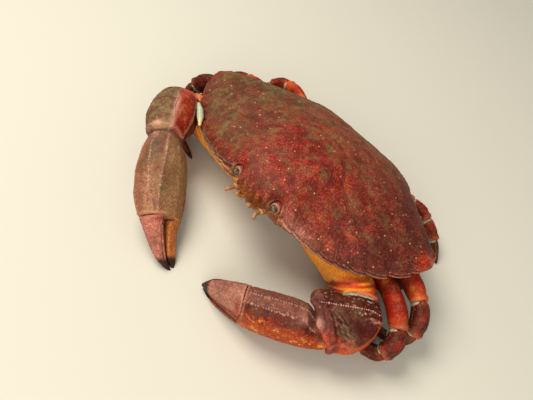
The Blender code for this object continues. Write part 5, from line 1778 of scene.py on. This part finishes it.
def joint_skin(name, first, last, slot, folds, amount, tone="skin", planes=None):
    """Skin from one ring of points to another, with folds across it."""
    t = np.linspace(0.0, 1.0, 34)[:, None]
    grid = first * (1.0 - t[..., None]) + last * t[..., None]
    fold = np.cos(2.0 * np.pi * folds * t) * np.sin(np.pi * t)
    grid = raised(grid, amount * fold * smooth(0.0, 0.3, t) + 0.12 * rough(grid, 1.6, 211))
    if planes is not None:
        grid = flatten(grid, *planes, keep=0.0)
    grid[..., 2] = np.maximum(grid[..., 2], 0.05)
    shade = np.broadcast_to(0.4 * smooth(0.3, -0.8, fold), grid.shape[:2])
    tint = painted(plain(tone, grid), ("fold shade", shade))
    make_plate(name, grid, tint, MEMBRANE, slot, rings=2, rise=0.1)


for side_name, side in SIDES:
    for number in range(1, len(LEGS[side_name]) + 1):
        shapes = LEG_SHAPES[side_name, number]
        for k, (before, after) in enumerate(zip(shapes, shapes[1:]), 1):
            joint_skin(f"leg_{number}_bend_{k}_{side_name}",
                       end_ring(before, 1.0 - 3.4 / length_of(before), 0.86),
                       end_ring(after, 2.6 / length_of(after), 0.86), "leg", 3, 0.16)
    upper, lower = ARM_SHAPES[side_name]
    joint_skin(f"elbow_skin_{side_name}", end_ring(upper, 1.0 - 5.5 / length_of(upper), 0.87),
               end_ring(lower, 4.6 / length_of(lower), 0.87), "arm_base", 4, 0.25)
    seat, table, face = PALMS[side_name]
    order = SKIN_TURN if side > 0 else (2.0 * math.pi - SKIN_TURN)
    ring = hand_points(seat, table, np.full(SKIN_TURN.shape, 0.055), order, face)
    ring = ring.mean(0) + 0.86 * (ring - ring.mean(0))
    ridge_place, ways = FACETS[side_name]
    joint_skin(f"wrist_skin_{side_name}", end_ring(lower, 1.0 - 4.0 / length_of(lower), 0.84), ring,
               "claw", 3, 0.2, "wrist skin", (ridge_place - 1.6 * UP, ways))
print("bends done, pieces:", len(PIECES))

# %% Fold at the inside of the right elbow
FOLD = ((-60.5, -30.8, 35.2), (-57.0, -32.6, 34.6), (-53.6, -34.8, 33.4), (-50.0, -37.8, 31.6))
grid, s, _ = path_grid(FOLD, [(half, half) for half in (0.5, 1.5, 1.7, 0.6)], UP, 2.0, 40, 28)
grid = raised(grid, 0.12 * rough(grid, 1.4, 213))
tint = painted(plain("elbow fold", grid), ("fold yellow", smooth(0.55, 0.95, s)))
make_plate("elbow_fold_right", grid, tint, MEMBRANE, "arm_base", rings=2, rise=0.2)
print("skins done, pieces:", len(PIECES))

# %% [markdown]
# ## Bristles
# Short stiff hairs line the legs' edges and furrows and the underside of the shell's front.  Each hair is
# a thin three-sided needle, and a tuft is six of them that fan out and lie towards the tip of the limb.
# Every tuft gets a small patch of its own on a UV map, at its root's place on the limb's unrolled skin.

# %% Tufts of bristles
NEEDLES, PATCH = 6, 0.003
# A needle's places on the patch, the share along it of each of its points, and its faces
SPOTS = np.array([(-0.5, -0.5), (0.0, -0.5), (0.5, -0.5), (-0.3, 0.1), (0.0, 0.1), (0.3, 0.1), (0.0, 0.5)])
ALONG = (0.0, 0.0, 0.0, 0.55, 0.55, 0.55, 1.0)
FACES = ((0, 2, 1), (0, 1, 4, 3), (1, 2, 5, 4), (2, 0, 3, 5), (3, 4, 6), (4, 5, 6), (5, 3, 6))
dice = np.random.default_rng(7)


def tufts(roots, outs, ways, lengths, widths, patches):
    """Points, faces, share along the hair and UV places of a tuft of needles at each root."""
    count = len(roots)
    parts, places = [], []
    across = unit(np.cross(ways, outs))
    for k in range(NEEDLES):
        turned = (k / (NEEDLES - 1.0) - 0.5) * 1.1 + dice.uniform(-0.15, 0.15, count)
        rise = dice.uniform(0.25, 0.65, count)
        way = unit(ways + across * turned[:, None] + outs * rise[:, None])
        long = (lengths * dice.uniform(0.65, 1.1, count))[:, None]
        root = roots + across * (turned * widths * 2.0)[:, None] - outs * 0.15
        bend = root + way * long * 0.55 + outs * 0.04 * long
        tip = root + way * long - outs * 0.10 * long
        flat, wide = unit(np.cross(way, outs)), widths[:, None]
        over = np.cross(flat, way)
        ring = [flat, -0.5 * flat + 0.87 * over, -0.5 * flat - 0.87 * over]
        needle = [root + wide * side for side in ring] + [bend + 0.7 * wide * side for side in ring] + [tip]
        parts.append(np.stack(needle, 1))
        step = np.array(((k + 0.5) / NEEDLES - 0.5, 0.0))
        places.append(patches[:, None, :] + PATCH * (SPOTS * (1.0 / NEEDLES, 1.0) + step))
    points = np.concatenate(parts).reshape(-1, 3)
    faces = [tuple(len(SPOTS) * n + i for i in face) for n in range(count * NEEDLES) for face in FACES]
    return points, faces, np.tile(ALONG, count * NEEDLES), np.concatenate(places).reshape(-1, 2)


# Lines of tufts on each leg length: angle round it and size; and the span of the length they cover
TUFT_LINES = {
    "merus": (((math.pi, 1.3),), (0.35, 0.97)),
    "carpus": (((0.0, 0.9), (0.93, 0.8), (-0.93, 0.8), (math.pi, 1.2)), (0.08, 0.95)),
    "propodus": (((0.0, 1.0), (0.93, 1.0), (-0.93, 1.0), (math.pi, 1.4), (2.4, 0.9), (-2.4, 0.9)),
                 (0.08, 0.95)),
    "dactyl": (((0.0, 0.8), (0.93, 0.7), (-0.93, 0.7), (math.pi, 0.9), (2.4, 0.6), (-2.4, 0.6)),
               (0.06, 0.66)),
}
TUFT_SPACING, CELLS_ACROSS = 0.75, 8


def limb_roots(bed, cell):
    """Places for tufts on one leg length, each with its spot in the length's own cell of the UV map."""
    grid, normals, turn, part = bed
    out = []
    lines, (low, high) = TUFT_LINES[part]
    for angle, size in lines:
        column = int(np.argmin(np.abs(np.angle(np.exp(1j * (turn[0] - angle))))))
        length = np.linalg.norm(np.diff(grid[:, column], axis=0), axis=1).sum()
        for share in np.linspace(low, high, max(int(length * (high - low) / TUFT_SPACING), 3)):
            row = min(int(share * (len(grid) - 1)), len(grid) - 2)
            place = (column + int(dice.integers(-1, 2))) % grid.shape[1]
            along = unit(grid[row + 1, place] - grid[row, place])
            patch = ((cell % CELLS_ACROSS + 0.05 + 0.9 * share) / CELLS_ACROSS,
                     (cell // CELLS_ACROSS + 0.05 + 0.9 * place / grid.shape[1]) / CELLS_ACROSS)
            out.append((grid[row, place], normals[row, place], along, size * 1.5, 0.085, patch))
    return out


def make_bristles(name, found, tone, slot):
    """One piece of needles from a list of tufts."""
    points, faces, along_hair, places = tufts(*(np.array([row[k] for row in found], float) for k in range(6)))
    tint = painted(plain(tone, points), (f"{tone} tip", along_hair))
    points[:, 2] = np.maximum(points[:, 2], 0.02)
    make_piece(name, points, faces, tint, BRISTLE, slot, places_uv=places)


print("tuft tools ready")

# %% Bristles of legs and face
half_of = len(BRISTLE_BEDS) // 2
for side_name, beds in (("left", BRISTLE_BEDS[:half_of]), ("right", BRISTLE_BEDS[half_of:])):
    found = [root for cell, bed in enumerate(beds) for root in limb_roots(bed, cell)]
    make_bristles(f"leg_bristles_{side_name}", found, "bristle", "leg")
    print(side_name, "leg tufts:", len(found))
FACE_HALF, FACE_ROWS, FACE_CHANCE = 44.0, (13, 16, 19), 0.45
found = []
for column in np.where((edge_y < 0.0) & (np.abs(edge_x) < FACE_HALF))[0]:
    for below_top in FACE_ROWS:
        if dice.random() < FACE_CHANCE:
            patch = (0.05 + 0.9 * column / len(edge_x), 0.5 + 0.4 * below_top / 20.0)
            way = unit((0.25 * np.sign(edge_x[column]), -0.9, -0.4))
            found.append((whole[rows + below_top, column], (0.0, -0.45, -0.9), way, 1.1, 0.07, patch))
make_bristles("face_bristles", found, "face bristle", "shell")
print("face tufts:", len(found), " pieces:", len(PIECES))

# %% [markdown]
# ## Finish
# The box of the finished model is printed beside the imported solids' box.

# %% Sizes and finish
scene_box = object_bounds()
sizes = {"cad": [list(v) for v in cad_box], "scene": [list(v) for v in scene_box]}
for label, box in sizes.items():
    print(label, [round((b - a) * 1000.0, 1) for a, b in zip(*box)], "mm")
print("triangles:", sum(len(p.data.polygons) for p in PIECES) * 2)
